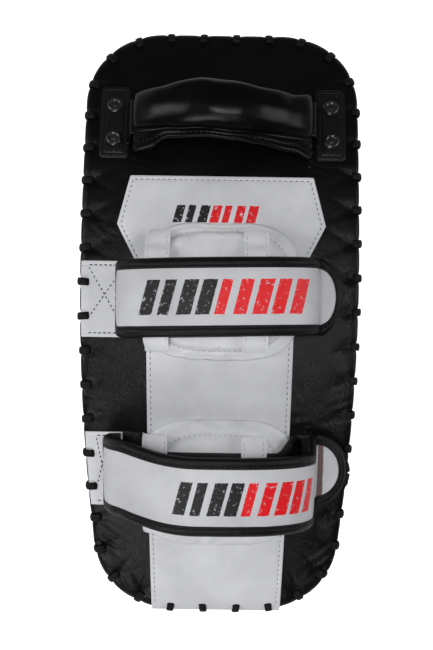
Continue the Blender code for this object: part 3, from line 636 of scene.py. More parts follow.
def make_finishes():
    for make in (make_grain_group, make_crease_group, make_scuff_group, make_bars_group,
                 make_nap_group,
                 make_weave_group):
        make()
    tones, cell = colours(), sizes().grain
    leather("pad black leather", tones.black, 0.30, 0.05, 0.00008, cell, 0.016, 0.0002, 0.3, 0.06,
            attribute="worked", Specular_IOR_Level=0.21)
    leather("black tab leather", tones.black, 0.38, 0.05, 0.00008, cell, 0.012, 0.0002, 0.5, 0.10,
            Specular_IOR_Level=0.4)
    leather("smooth black leather", tones.smooth, 0.25, 0.04, 0.00003, cell * 0.8, 0.020, 0.0002,
            0.2, 0.03,
            Specular_IOR_Level=0.19)
    leather("black binding", tones.binding, 0.42, 0.05, 0.00006, cell * 0.8, 0.010, 0.0002, 0.6,
            0.06,
            Specular_IOR_Level=0.26)
    white = dict(depth=0.00007, cell=cell * 0.8, crease=0.026, crease_depth=0.0003, scuff=0.35,
                 dust=0.25)
    leather("white leather", tones.white, 0.44, 0.05, Specular_IOR_Level=0.4, **white)
    # Painted light: the cushions and keepers take a lighter copy of the white leather, to make up for the shade the
    # straps cast on them.
    leather("cushion leather", [c * 1.12 for c in tones.white], 0.42, 0.05, Specular_IOR_Level=0.4,
            **{**white, "crease": 0.014, "crease_depth": 0.0005})
    # Painted shade: the straps take a darker copy of the white leather, to hold down their raised faces, which catch
    # more light.
    for strap in STRAPS:
        tree, shader, base, _ = leather(f"{strap['name']} strap leather painted darker",
                                        [c * 0.80 for c in tones.white], 0.42, 0.05,
                                        Specular_IOR_Level=0.4, **white)
        flat = put(tree, "ShaderNodeUVMap", uv_map="UVMap").outputs[0]
        places = [run_at(strap, x) for x in strap["print"]]
        pitch = (places[2] - places[0]) / sizes().bars
        places[1] = places[0] + pitch * (round((places[1] - places[0]) / pitch) - 0.1)
        base = printed(tree, shader, base, flat, places, *strap["print_y"], pitch)
        # The lower strap gets painted shade at its crease.
        if strap is LOWER:
            paint_crease_shade(tree, shader, base, flat, strap)
    # Painted shade: the panel takes a darker copy of the white leather, to hold it down under lamps set bright
    # enough for the other white pieces.
    tree, shader, base, place = leather("panel leather", [c * 0.93 for c in tones.white], 0.46,
                                        0.05, Specular_IOR_Level=0.4, **white)
    printed(tree, shader, base, place, (-0.031, -0.0075, 0.0255), 0.0662, 0.0778, 0.0565 / 7)
    make_plain_finishes(tones)


def paint_crease_shade(tree, shader, base, flat, strap):
    """The leather's brown backing shows where the strap folds at its crease."""
    crease = arm_runs(strap)[-1]
    along = put(tree, "ShaderNodeSeparateXYZ", {0: flat}).outputs[0]
    near = sums(tree, "ABSOLUTE", sums(tree, "SUBTRACT", along, crease + 0.0010))
    wander = put(tree, "ShaderNodeTexNoise", {"Vector": flat, "Scale": 260.0, "Detail": 3.0})
    near = sums(tree, "ADD", near, sums(tree, "MULTIPLY",
                                        sums(tree, "SUBTRACT", wander.outputs[0], 0.5), 0.0016))
    mask = ranged(tree, near, 0.0026, 0.0034, 0.92, 0.0)
    tree.links.new(blended(tree, mask, base, rgba(colours().backing_and_crease_shade)), shader.inputs["Base Color"])


def make_plain_finishes(tones):
    def place_of(tree):
        return put(tree, "ShaderNodeTexCoord").outputs["Object"]

    for name, tone, rough, depth in (("edge lace", tones.lace, 0.50, 0.00010),
                                     ("white thread", (0.62, 0.62, 0.65), 0.6, 0.0001),
                                     ("dark thread", tones.thread, 0.6, 0.0001),
                                     ("black thread", (0.016, 0.016, 0.018), 0.5, 0.0001)):
        tree, shader = new_finish(name, Specular_IOR_Level=0.22)
        weave = group(tree, "Leather grain", place_of(tree), Cell=0.0005)
        tree.links.new(blended(tree, weave["Tone"], rgba(tone, 0.8), rgba(tone, 1.2)),
                       shader.inputs["Base Color"])
        tree.links.new(ranged(tree, weave["Tone"], 0, 1, rough - 0.05, rough + 0.08),
                       shader.inputs["Roughness"])
        bumped(tree, shader, (weave["Height"], depth))
    tree, shader = new_finish("hook and loop", Specular_IOR_Level=0.25)
    nap = group(tree, "Nap", place_of(tree), Fibre=0.0005)
    tree.links.new(blended(tree, nap["Tone"], rgba(tones.nap, 0.6), rgba(tones.nap, 2.2)),
                   shader.inputs["Base Color"])
    tree.links.new(ranged(tree, nap["Tone"], 0, 1, 0.8, 1.0), shader.inputs["Roughness"])
    bumped(tree, shader, (nap["Height"], 0.0005))
    tree, shader = new_finish("black webbing", Specular_IOR_Level=0.3)
    weave = group(tree, "Weave", place_of(tree), Thread=0.0007)["Height"]
    tree.links.new(blended(tree, weave, (0.006, 0.006, 0.007, 1), (0.016, 0.016, 0.018, 1)),
                   shader.inputs["Base Color"])
    tree.links.new(ranged(tree, weave, 0, 1, 0.9, 0.7), shader.inputs["Roughness"])
    bumped(tree, shader, (weave, 0.0003))
    for name, tone, cell in (("grey foam", (0.30, 0.31, 0.32), 0.0016),
                             ("dense foam", (0.08, 0.08, 0.09), 0.0009),
                             ("fibre board", (0.25, 0.17, 0.10), 0.0024)):
        tree, shader = new_finish(name, Specular_IOR_Level=0.2)
        cells = group(tree, "Nap", place_of(tree), Fibre=cell)
        tree.links.new(blended(tree, cells["Tone"], rgba(tone, 0.75), rgba(tone, 1.15)),
                       shader.inputs["Base Color"])
        tree.links.new(ranged(tree, cells["Tone"], 0, 1, 0.85, 0.98), shader.inputs["Roughness"])
        bumped(tree, shader, (cells["Height"], 0.0005))
    tree, shader = new_finish("black lacquered metal", Specular_IOR_Level=0.5, Coat_Weight=0.3)
    rubs = group(tree, "Scuffs", place_of(tree), Amount=0.9)["Mask"]
    grain = group(tree, "Leather grain", place_of(tree), Cell=0.0006)
    tree.links.new(blended(tree, rubs, (0.012, 0.012, 0.013, 1), (0.09, 0.088, 0.085, 1)),
                   shader.inputs["Base Color"])
    tree.links.new(ranged(tree, rubs, 0, 1, 0.0, 0.7), shader.inputs["Metallic"])
    tree.links.new(ranged(tree, grain["Tone"], 0, 1, 0.22, 0.34), shader.inputs["Roughness"])
    bumped(tree, shader, (grain["Height"], 0.00002))


CAD_FINISHES = {
    "foam": "grey foam", "dense_foam": "dense foam", "fibre_board": "fibre board",
    "webbing": "black webbing",
    "black_metal": "black lacquered metal", "hook_and_loop": "hook and loop",
    "black_binding": "black binding",
    "black_leather": "black tab leather", "black_smooth_leather": "smooth black leather",
    "white_leather": "white leather", "black_lace": "edge lace",
}


# ---------------------------------------------------------------- pad block

# Rings of the back leather, as (distance in from the outline, height above the back face). Outside the outline the
# leather bulges, by rim_bulge.
BACK_RINGS = (
    (0.0010, -0.0062), (-0.0012, -0.0062), (-0.0024, -0.0055), (-0.0030, -0.0044),
    (-0.0031, -0.0032),
    (-0.0027, -0.0020), (-0.0018, -0.0011), (-0.0006, -0.0006), (0.0008, -0.0003),
    (0.0024, -0.0001), (0.0042, 0.0),
    (0.0062, 0.0), (0.0083, 0.0), (0.0102, 0.0), (0.0124, 0.0),
    (0.0150, 0.0), (0.0182, 0.0), (0.0222, 0.0), (0.0270, 0.0), (0.0325, 0.0), (0.0385, 0.0),
)
BACK_INNER = 9
SPINE = 0.110
COLUMNS = 16 * LACES

# Places where the leather is gathered: x, y, reach, direction of the folds in degrees, fold width, depth.
GATHERS = (
    (-0.052, 0.107, 0.009, 25, 0.0050, 0.0007), (0.061, 0.109, 0.011, -20, 0.0055, 0.0007),
    (0.061, -0.064, 0.013, 38, 0.0062, 0.0010), (0.083, -0.056, 0.008, 20, 0.0055, 0.0008),
    (0.079, -0.124, 0.011, 30, 0.0058, 0.0010), (0.060, -0.140, 0.012, -15, 0.0065, 0.0009),
    (-0.076, -0.152, 0.015, -40, 0.0062, 0.0012), (-0.060, -0.178, 0.014, -60, 0.0060, 0.0012),
    (-0.081, -0.055, 0.010, -30, 0.0060, 0.0007), (0.076, 0.035, 0.010, 50, 0.0058, 0.0006),
    (-0.077, 0.060, 0.010, 140, 0.0062, 0.0006), (0.074, -0.165, 0.013, 40, 0.0060, 0.0010),
)


def rim_bulge(out):
    """How far the leather stands out from the outline, where outwards is out."""
    corner = (2 * out.x * out.y) ** 2 * (0.0014 if out.y < 0 else 0.0004 if out.x < 0 else 0.0012)
    return 0.0027 - 0.0007 * out.x + corner


def bulged(rim, out, inset, gap):
    """A point in from the outline, or outside it by a share of the bulge, drawn in near a lace."""
    if inset < 0:
        inset *= rim_bulge(out) / 0.0031
    return rim - out * (inset + sizes().pucker * hump(gap, 0.0034) * hump(inset + 0.003, 0.0035))


def rim_fall(inset):
    """Height of the back leather at a distance in from the outline."""
    rings = [r for r in BACK_RINGS if r[1] > -0.0040]
    for (a, high), (b, low) in zip(rings, rings[1:]):
        if inset <= b:
            return mid(high, low, max(0.0, (inset - a) / (b - a)))
    return 0.0


def panel_half(y):
    if y > SHIELD_POINT_Y:
        return mid(SHIELD_POINT_X, SHIELD_TOP_X,
                   (y - SHIELD_POINT_Y) / (SHIELD_TOP_Y - SHIELD_POINT_Y))
    if y > STRIP_TOP_Y:
        return mid(STRIP_TOP_X, SHIELD_POINT_X, (y - STRIP_TOP_Y) / (SHIELD_POINT_Y - STRIP_TOP_Y))
    return mid(STRIP_END_X, STRIP_TOP_X, (y - STRIP_END_Y) / (STRIP_TOP_Y - STRIP_END_Y))


def covered(x, y):
    """1 where another piece lies on the back leather, falling to 0 beside it."""
    under = [smooth(1 - (abs(x) - panel_half(y)) / 0.005) * smooth(1 - (y - SHIELD_TOP_Y) / 0.005)]
    for strap in STRAPS:
        beside = smooth(1 - (abs(y - strap["y"]) - STRAP_HALF) / 0.005)
        under.append(beside * smooth(1 - (x + panel_half(y)) / 0.005))
        under.append(beside * smooth((x - 0.045) / 0.005) * smooth(1 - (x - strap["tongue_x"]) / 0.004))
    under.append(smooth(1 - (abs(abs(x) - TAB_X) - TAB_HALF_X) / 0.004)
                 * smooth(1 - (abs(y - HANDLE_Y) - TAB_HALF_Y) / 0.004))
    return max(under)


def gathers_at(x, y):
    """Height of the gathered folds at a point, and how strongly it is gathered."""
    rise = worked = 0.0
    for gx, gy, reach, degrees, width, depth in GATHERS:
        near = math.exp(-((x - gx) ** 2 + (y - gy) ** 2) / reach ** 2)
        if near < 0.02:
            continue
        turn = math.radians(degrees)
        across = (y - gy) * math.cos(turn) - (x - gx) * math.sin(turn)
        across += 0.002 * noise.noise(Vector((x, y, 0.3)) * 90)
        rise += 0.55 * depth * near * math.sin(math.tau * across / width)
        worked = max(worked, near)
    return rise, worked


def leather_play(x, y, inset, gap):
    """How far the loose leather stands off its lay near a lace and in the open."""
    tug = sizes().pucker
    pull = hump(gap, 0.0042)
    rise = -tug * pull * hump(inset - 0.0045, 0.0042) + 0.5 * tug * (1 - pull) * hump(inset, 0.009)
    for side in (-1, 1):
        rise -= 0.0005 * hump(gap - side * 0.6 * (inset - 0.004), 0.0014) * hump(inset - 0.011,
            0.006)
    calm = 1 - covered(x, y)
    loose = noise.noise(Vector((x * 34, y * 34, 0.0))) + 0.5 * noise.noise(Vector((x * 90, y * 90,
        4.0)))
    folds, _ = gathers_at(x, y)
    return rise * mid(0.4, 1.0, calm) + calm * (sizes().wave * loose * min(1.0,
        inset / 0.012) + folds)


def back_place(i, j):
    share = i / COLUMNS
    rim, out = rim_at(share)
    if j < len(BACK_RINGS):
        inset, h = BACK_RINGS[j]
        spot = bulged(rim, out, inset, lace_gap(share))
    else:
        h, last = 0.0, BACK_RINGS[-1][0]
        part = (j - len(BACK_RINGS) + 1) / BACK_INNER
        spine = Vector((0, min(max(rim.y, -SPINE), SPINE)))
        spot = (rim - out * last).lerp(spine, part)
        inset = last + part * 0.05
    rise = leather_play(spot.x, spot.y, max(inset, 0.0),
                        lace_gap(share)) * smooth((h + 0.0035) / 0.003)
    return on_back(spot.x, spot.y, h + rise)


def wrap_rings():
    """Rings of the side and striking leather: (distance in, layout height)."""
    rings = [(0.0010, THICKNESS - 0.0064), (-0.0010, THICKNESS - 0.0066),
             (-0.0022, THICKNESS - 0.0074),
             (-0.0027, THICKNESS - 0.0090), (-0.0024, THICKNESS - 0.0112),
             (-0.0014, THICKNESS - 0.0140)]
    rings += [(0.0, z) for z in spread(THICKNESS - 0.0185, STRIKE_RIM, 16)]
    rings += [(STRIKE_RIM * (1 - math.cos(a)), STRIKE_RIM * (1 - math.sin(a)))
              for a in spread(0, math.pi / 2, 7)[1:]]
    return rings + [(0.019, 0.0), (0.025, 0.0), (0.032, 0.0), (0.040, 0.0)]


WRAP_RINGS = wrap_rings()
WRAP_INNER = 8


def wrap_place(i, j):
    share = i / COLUMNS
    rim, out = rim_at(share)
    gap = lace_gap(share)
    if j < len(WRAP_RINGS):
        inset, z = WRAP_RINGS[j]
        spot = bulged(rim, out, inset, gap)
    else:
        inset, z = 0.05, 0.0
        part = (j - len(WRAP_RINGS) + 1) / WRAP_INNER
        spine = Vector((0, min(max(rim.y, -SPINE), SPINE)))
        spot = (rim - out * WRAP_RINGS[-1][0]).lerp(spine, part)
    down = THICKNESS - z
    belly = 0.0010 * math.sin(math.pi * min(1.0, down / THICKNESS))
    tug = -0.5 * sizes().pucker * hump(gap, 0.005) * hump(down - 0.0125, 0.006)
    gather = 0.0003 * math.cos(math.tau * gap * LACES / RIM_LENGTH * 2) * hump(down - 0.018, 0.014)
    loose = 0.0005 * noise.noise(Vector((spot.x * 26, spot.y * 26, z * 26)))
    side = 1.0 if inset < STRIKE_RIM * 0.9 else 0.0
    spot = spot + out * side * (belly + tug + gather + loose)
    place = curved(spot.x, spot.y, z)
    if not side:
        place.z += 0.0006 * noise.noise(Vector((spot.x * 20, spot.y * 20, 9.0)))
    place.z = max(place.z, 0.0)
    return place


def make_block():
    back = welded(laid("pad_back_leather", COLUMNS, len(BACK_RINGS) - 1 + BACK_INNER, back_place),
                  2e-6)
    worked = back.data.attributes.new("worked", "FLOAT", "POINT")
    for vertex in back.data.vertices:
        x, y, _ = vertex.co
        worked.data[vertex.index].value = gathers_at(x, y)[1] * (1 - covered(x, y))
    wrap = welded(laid("pad_side_and_striking_leather", COLUMNS, len(WRAP_RINGS) - 1 + WRAP_INNER,
                       wrap_place), 2e-6)
    wrap.data.attributes.new("worked", "FLOAT", "POINT")
    finished(back, "pad black leather", "pad", ["back_cover"], angle=60)
    finished(wrap, "pad black leather", "pad", ["strike_cover"], angle=60)


# The lace's way over the edge at one hole, as (outwards from the outline, up from the back face).
LACE_WAY = (
    (-0.0034, -0.0018), (-0.0033, -0.0002), (-0.0026, 0.0007), (-0.0010, 0.0008), (0.0008, 0.0004),
    (0.0022, -0.0008),
    (0.0030, -0.0032), (0.0031, -0.0062), (0.0028, -0.0092), (0.0019, -0.0116), (0.0004, -0.0128),
    (-0.0014, -0.0132),
)


def over_white(rim):
    """Whether a white piece lies under the lace at a point of the outline."""
    beside = any(abs(rim.y - strap["y"]) < STRAP_HALF for strap in STRAPS)
    return beside and rim.x < 0 or rim.y < 0 and abs(rim.x) < STRIP_END_X


def make_lacing():
    """One lace stitch, copied to every hole, and the cord that runs under them along the seam."""
    line = [Vector((0, -out, up)) for out, up in LACE_WAY]
    stitch = swept("edge_lacing", line, rounded(sizes().lace_half_height, sizes().lace_half_width,
        10),
                   up=Vector((1, 0, 0)))
    work = bmesh.new()
    for k in range(LACES):
        rim, out = rim_at(FIRST_LACE + k / LACES)
        lean = 0.10 * math.sin(k * 2.4)
        ahead = Vector((-out.y, out.x, 0))
        copy = stitch.data.copy()
        lift = 0.0018 if over_white(rim) else 0.0
        for vertex in copy.vertices:
            x, y, z = vertex.co
            x += lean * (y + 0.001)
            y -= 0.3 * lift
            z += lift * smooth((z + 0.006) / 0.005)
            y = min(y, y * rim_bulge(out) / 0.0029)
            spot = Vector((rim.x, rim.y, 0)) - Vector((out.x, out.y, 0)) * y + ahead * x
            vertex.co = curved(spot.x, spot.y, THICKNESS + z)
        work.from_mesh(copy)
        bpy.data.meshes.remove(copy)
    work.to_mesh(stitch.data)
    work.free()
    welded(stitch, 1e-8)
    finished(stitch, "edge lace", "pad", ["edge_lacing"], angle=60)
    count = 8 * LACES
    path = []
    for k in range(count):
        rim, out = rim_at(FIRST_LACE + k / count)
        spot = rim + out * (rim_bulge(out) - 0.0010)
        path.append(on_back(spot.x, spot.y, -0.0063))
    cord = swept("seam_cord", path, rounded(0.0009, 0.0009, 8), closed=True)
    finished(cord, "edge lace", "pad", angle=60)


def make_panel():
    """The white centre panel: a pointed shield that runs down into a long strip."""
    columns = edge_stations(-1.0, 1.0, 12)
    corners = (STRIP_END_Y, STRIP_TOP_Y, SHIELD_POINT_Y, SHIELD_TOP_Y)
    rows = edge_stations(STRIP_END_Y, SHIELD_TOP_Y, 110)
    rows = [min(corners, key=lambda c: abs(c - y)) if min(abs(c - y) for c in corners) < 0.0012 else y for y in rows]

    def across(i, y):
        half, u = panel_half(y), columns[i]
        if abs(u) > 1 - EDGE_STATIONS[-1] - 1e-6:
            return math.copysign(half - (1 - abs(u)), u)
        return u / (1 - EDGE_STATIONS[-1]) * (half - EDGE_STATIONS[-1])

    def place(i, j):
        y = rows[j]
        x = across(i, y)
        inset = min(panel_half(y) - abs(x), SHIELD_TOP_Y - y, y - STRIP_END_Y)
        open_side = min(panel_half(y) - abs(x), SHIELD_TOP_Y - y)
        h = GAP + seam_dip(open_side) + 0.0004 * smooth(inset / 0.008)
        h += 0.0003 * noise.noise(Vector((x * 40, y * 40, 2.0))) * smooth(inset / 0.01)
        return on_back(x, y, h + rim_fall(y + HALF_LENGTH))

    panel = with_wall(laid("centre_panel_leather", len(columns) - 1, len(rows) - 1, place), 0.0012)
    finished(panel, "panel leather", "pad", ["centre_panel"])

    def seam(x, y):
        return on_back(x, y, GAP + 0.0012 - sizes().seam_depth + 0.0001), up_from_back(y)

    lines = []
    for side in (-1, 1):
        ys = [STRIP_END_Y + 0.005, STRIP_TOP_Y, SHIELD_POINT_Y, SHIELD_TOP_Y - SEAM_INSET]
        for low, high in zip(ys, ys[1:]):
            lines.append([seam(side * (panel_half(y) - SEAM_INSET), y) for y in spread(low, high,
                12)])
    top = SHIELD_TOP_Y - SEAM_INSET
    edge = panel_half(top) - SEAM_INSET
    lines.append([seam(x, top) for x in spread(-edge, edge, 12)])
    finished(threads("centre_panel_stitching", lines, dash=0.0014), "dark thread",
             "pad")


# ---------------------------------------------------------------- rivets and handle

def plate(name, x_low, x_high, y_low, y_high, corner, h, thickness, puff=0.0):
    """A flat leather piece with rounded corners, laid on the back."""
    xs, ys = edge_stations(x_low, x_high, 8), edge_stations(y_low, y_high, 20)

    def place(i, j):
        x, y = xs[i], ys[j]
        inset = min(x - x_low, x_high - x, y - y_low, y_high - y)
        cx, cy = min(max(x, x_low + corner), x_high - corner), min(max(y, y_low + corner),
            y_high - corner)
        off = Vector((x - cx, y - cy))
        if abs(off.x) > 1e-9 and abs(off.y) > 1e-9:
            reach = max(abs(off.x), abs(off.y))
            off = off.normalized() * reach
            x, y = cx + off.x, cy + off.y
        return on_back(x, y, h + seam_dip(inset) + puff * smooth(inset / 0.006))

    return with_wall(laid(name, len(xs) - 1, len(ys) - 1, place), thickness)


def make_rivets():
    """One domed ring rivet, copied to the handle tabs and strap anchors."""
    deselected()
    bpy.ops.mesh.primitive_cylinder_add(vertices=28, radius=CAP_RADIUS, depth=0.0009,
                                        location=(0, 0, 0.00045))
    model = bpy.context.object
    bpy.ops.object.transform_apply(location=True)
    bpy.ops.object.mode_set(mode="EDIT")
    bpy.ops.mesh.select_mode(type="FACE")
    work = bmesh.from_edit_mesh(model.data)
    for face in work.faces:
        face.select = face.normal.z > 0.9
    bmesh.update_edit_mesh(model.data)
    for thickness, lift in ((0.0011, 0.0011), (0.0009, 0.0002), (0.0008, -0.0008), (0.0008, 0.0),
                            (0.0006, 0.0005)):
        bpy.ops.mesh.inset(thickness=thickness, depth=0)
        bpy.ops.transform.translate(value=(0, 0, lift))
    bpy.ops.object.mode_set(mode="OBJECT")
    soft = model.modifiers.new("soft", "SUBSURF")
    soft.levels = soft.render_levels = 1
    applied(model)
    places = {f"handle_rivet_{side}_{end}": (sign * TAB_X, HANDLE_Y + step, HANDLE_TAB)
              for side, sign in (("left", -1), ("right", 1))
              for end, step in (("outer", RIVET_Y), ("inner", -RIVET_Y))}
    for strap in STRAPS:
        places[f"{strap['name']}_anchor_rivet"] = (strap["fold_x"] + ANCHOR_RIVET_IN, strap["y"],
            TAB)
    for name, (x, y, under) in places.items():
        rivet = model.copy()
        rivet.data = model.data.copy()
        rivet.name = rivet.data.name = name + "_cap"
        bpy.context.collection.objects.link(rivet)
        turn = Vector((0, 0, 1)).rotation_difference(up_from_back(y)).to_matrix().to_4x4()
        rivet.data.transform(Matrix.Translation(on_back(x, y, under + 2 * GAP)) @ turn)
        finished(rivet, "black lacquered metal", "pad", [name], angle=35)
    bpy.data.objects.remove(model)


def grip_share(x):
    return 1 - min(1.0, abs(x) / GRIP_HALF) ** 2.2


def leaned(x, across, h):
    """A point of the handle, across and h from its hinge line on the back, leant towards the pad's end."""
    lean = math.radians(HANDLE_LEAN)
    c, s = math.cos(lean), math.sin(lean)
    up = h - HINGE_H
    return on_back(x, HINGE_Y, HINGE_H) + Vector((0, across * c + up * s, up * c - across * s))


# How far the used grip has moved along y, as (x, move), at its crest, at its groove and at its sewn lip.
GRIP_CREST = ((-0.059, 0.0015), (-0.036, -0.0011), (-0.016, 0.0), (0.005, -0.0024),
              (0.023, -0.0043), (0.044, -0.0036),
              (0.059, 0.0022))
GRIP_GROOVE = ((-0.059, 0.0), (-0.040, -0.0006), (-0.020, -0.0016), (0.007, -0.0036),
               (0.044, -0.0046), (0.059, -0.0040))
GRIP_LIP = ((-0.059, -0.0090), (-0.048, -0.0070), (-0.036, -0.0008), (-0.020, 0.0),
            (0.007, -0.0016), (0.023, -0.0044),
            (0.044, -0.0076), (0.059, -0.0128))


def along_table(table, x):
    for (a, low), (b, high) in zip(table, table[1:]):
        if x <= b:
            return mid(low, high, smooth((x - a) / (b - a)))
    return table[-1][1]


def grip_place(x, across, thick):
    share = grip_share(x)
    place = leaned(x, across * mid(GRIP_END_WIDE, GRIP_MID_WIDE, share),
                   mid(GRIP_END_H, GRIP_MID_H, share) + thick * mid(GRIP_END_THICK, GRIP_MID_THICK,
                       share))
    crest, groove, lip = (along_table(t, x) for t in (GRIP_CREST, GRIP_GROOVE, GRIP_LIP))
    if across > -0.6:
        place.y += mid(groove, crest, (across + 0.6) / 1.6)
    else:
        share = (-0.6 - across) / 0.4
        place.y += mid(groove, lip, share)
        place.z += 0.5 * share * max(0.0, groove - lip)
    return place


# Round the grip, as shares of its half width and half thickness: a barrel, and the lip of its sewn seam.
GRIP_SECTION = (
    (1.0, 0.0), (0.97, 0.36), (0.86, 0.67), (0.66, 0.88), (0.42, 0.98), (0.16, 1.0), (-0.10, 0.93),
    (-0.32, 0.76),
    (-0.48, 0.50), (-0.57, 0.20), (-0.61, -0.04), (-0.66, -0.10), (-0.76, -0.05), (-0.84, -0.10),
    (-0.93, -0.06),
    (-0.99, -0.14), (-1.0, -0.30), (-0.93, -0.40), (-0.80, -0.42), (-0.64, -0.46), (-0.50, -0.62),
    (-0.30, -0.80),
    (-0.05, -0.92), (0.25, -0.97), (0.55, -0.88), (0.80, -0.64), (0.95, -0.34),
)


def smooth_loop(points, extra=1):
    """A closed line through the points, with extra points on a smooth curve between them."""
    made = []
    count = len(points)
    for i in range(count):
        p0, p1, p2, p3 = (Vector(points[(i + k) % count]) for k in (-1, 0, 1, 2))
        for k in range(extra + 1):
            t = k / (extra + 1)
            made.append(0.5 * (2 * p1 + (p2 - p0) * t + (2 * p0 - 5 * p1 + 4 * p2 - p3) * t * t
                               + (3 * p1 - p0 - 3 * p2 + p3) * t ** 3))
    return made


def make_grip():
    section = smooth_loop(GRIP_SECTION)
    ends = (0.0, 0.0006, 0.0014, 0.0026)
    xs = [-GRIP_HALF + e for e in ends] + spread(-GRIP_HALF + 0.0045, GRIP_HALF - 0.0045, 52)
    xs += [GRIP_HALF - e for e in reversed(ends)]
    last = len(xs) - 1

    def place(i, j):
        x, (across, thick) = xs[i], section[j % len(section)]
        end = min(i, last - i)
        shrink = (0.80, 0.92, 0.98)[end] if end < 3 else 1.0
        if across > -0.62:
            play = 0.0005 * noise.noise(Vector((x * 45, across * 2.0, thick * 2.0)))
            play += 0.0004 * noise.noise(Vector((x * 120, across * 1.5, 3.0 + thick)))
        else:
            play = 0.0003 * math.sin(x * 210)
        spot = grip_place(x, across * shrink, thick * shrink)
        centre = grip_place(x, 0.1, 0)
        return spot + (spot - centre).normalized() * play

    grip = welded(laid("handle_grip_leather", last, len(section), place), 1e-7, capped=True)
    finished(grip, "smooth black leather", "handle",
             ["handle_sleeve", "handle_core_top", "handle_core_bottom",
                                                                                   "handle_inner_strap"], angle=60)
    line = [(grip_place(x, -0.84, -0.03), Vector((0, 0, 1))) for x in spread(-0.056, 0.056, 40)]
    finished(threads("handle_grip_stitching", [line], pitch=0.0034), "black thread",
             "handle")


# The leather at each end of the grip, from inside it down to its tab, as (distance from the middle, height).
ROOT_WAY = ((0.0560, 0.0165), (0.0590, 0.0164), (0.0608, 0.0152), (0.0617, 0.0128),
            (0.0619, 0.0100), (0.0619, 0.0072),
            (0.0621, 0.0050), (0.0629, 0.0038), (0.0645, 0.0035))


def make_handle_ends():
    for side, sign in (("left", -1), ("right", 1)):
        low, high = sorted((sign * (TAB_X - TAB_HALF_X), sign * (TAB_X + TAB_HALF_X)))
        y_low, y_high = HANDLE_Y - TAB_HALF_Y, HANDLE_Y + TAB_HALF_Y
        for layer, (h, thick, inset) in enumerate(((GAP, 0.0014, 0.0),
                (GAP + 0.0015, 0.0015, 0.0004))):
            tab = plate(f"handle_tab_{side}_{'lower' if layer == 0 else 'upper'}", low + inset,
                        high - inset,
                        y_low + inset, y_high - inset, 0.0030, h, thick, 0.0002 * layer)
            finished(tab, "black tab leather", "pad",
                     [f"handle_tab_{side}"] if layer else ())
        seam_h = GAP + 0.0032
        lines = []
        for inset in (0.0022, 0.0040):
            a, b, c, d = low + inset, high - inset, y_low + inset, y_high - inset
            ring = [(a, c), (b, c), (b, d), (a, d), (a, c)]
            for (x0, y0), (x1, y1) in zip(ring, ring[1:]):
                if inset > 0.003 and y0 != y1:
                    continue
                lines.append([(on_back(mid(x0, x1, t), mid(y0, y1, t), seam_h), up_from_back(y0))
                              for t in spread(0, 1, 6)])
        finished(threads(f"handle_tab_{side}_stitching", lines, pitch=0.0028, dash=0.0017),
                 "black thread",
                 "pad")
        ys = spread(HANDLE_Y - 0.0165, HANDLE_Y + 0.0140, 14)

        def place(i, j):
            x, h = ROOT_WAY[i]
            y = HANDLE_Y + (ys[j] - HANDLE_Y) * mid(1.0, 0.78, smooth(h / 0.016))
            spot = on_back(sign * x, y, h + 0.0004 * math.sin(j * 1.3 + i))
            upright = smooth((h - 0.006) / 0.010)
            return spot.lerp(leaned(sign * x, y - HINGE_Y, h), upright)

        strip = laid(f"handle_root_{side}_leather", len(ROOT_WAY) - 1, len(ys) - 1, place)
        strip = with_wall(strip, 0.0016, offset=0.0)
        finished(strip, "smooth black leather", None,
                 [f"handle_root_{side}"])
        on_back(sign * ROOT_WAY[-3][0], HANDLE_Y, 0.0045)
        on_back(sign * ROOT_WAY[-3][0], HANDLE_Y, 0.0150)
        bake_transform(strip)


# ---------------------------------------------------------------- arm straps

def arch(strap, angle, off):
    """(x, height) of the strap's arm at angle, from pi at its fold to 0 at its crease, off above its inner side."""
    centre = (strap["fold_x"] + strap["crease_x"]) / 2
    span = (strap["crease_x"] - strap["fold_x"]) / 2

    def place(a):
        c, s = math.cos(a), math.sin(a)
        x = centre + span * math.copysign(abs(c) ** (2 / ARCH_POWER), c)
        low = mid(CREASE_H, FOLD_H, (1 - c) / 2)
        return Vector((x, low + (strap["high"] - low) * abs(s) ** (2 / ARCH_POWER)))

    step = 0.01
    along = place(angle - step) - place(angle + step)
    normal = Vector((-along.y, along.x)).normalized()
    return place(angle) + normal * off


def droop(strap, x, angle):
    """How far the arm hangs towards the pad's lower end at angle, and how it leans."""
    centre = (strap["fold_x"] + strap["crease_x"]) / 2
    span = (strap["crease_x"] - strap["fold_x"]) / 2
    s = min(max((x - centre) / span, -1.0), 1.0)
    hang = smooth((math.pi - angle - 0.6) / 0.95) * smooth((angle - 0.02) / 0.23)
    return -strap["droop"] * hang + strap["rise"] * (s + 1)


FIRST_ANGLE, LAST_ANGLE, FILLET_ANGLE = math.pi - 0.035, 0.030, 0.085
ARM_COLUMNS = 112
FILLET = 7


def tail_start(strap):
    return strap["crease_x"] + OUTER + TAIL_GAP


def centre_line(strap):
    return strap["y"] + 2 * strap["rise"] + strap["tail_up"]


def tail_top():
    return TONGUE_H + ROOT_LEG + GAP + LOOP + GAP + HOOK + GAP


def arm_angles(strap, last):
    """Angles evenly along the arch's length."""
    dense = spread(FIRST_ANGLE, last, 900)
    points = [arch(strap, a, 0.0) for a in dense]
    runs = runs_of(points)
    made, i = [], 0
    for k in range(ARM_COLUMNS + 1):
        want = runs[-1] * k / ARM_COLUMNS
        while i < len(runs) - 2 and runs[i + 1] < want:
            i += 1
        made.append(mid(dense[i], dense[i + 1], (want - runs[i]) / (runs[i + 1] - runs[i])))
    return made


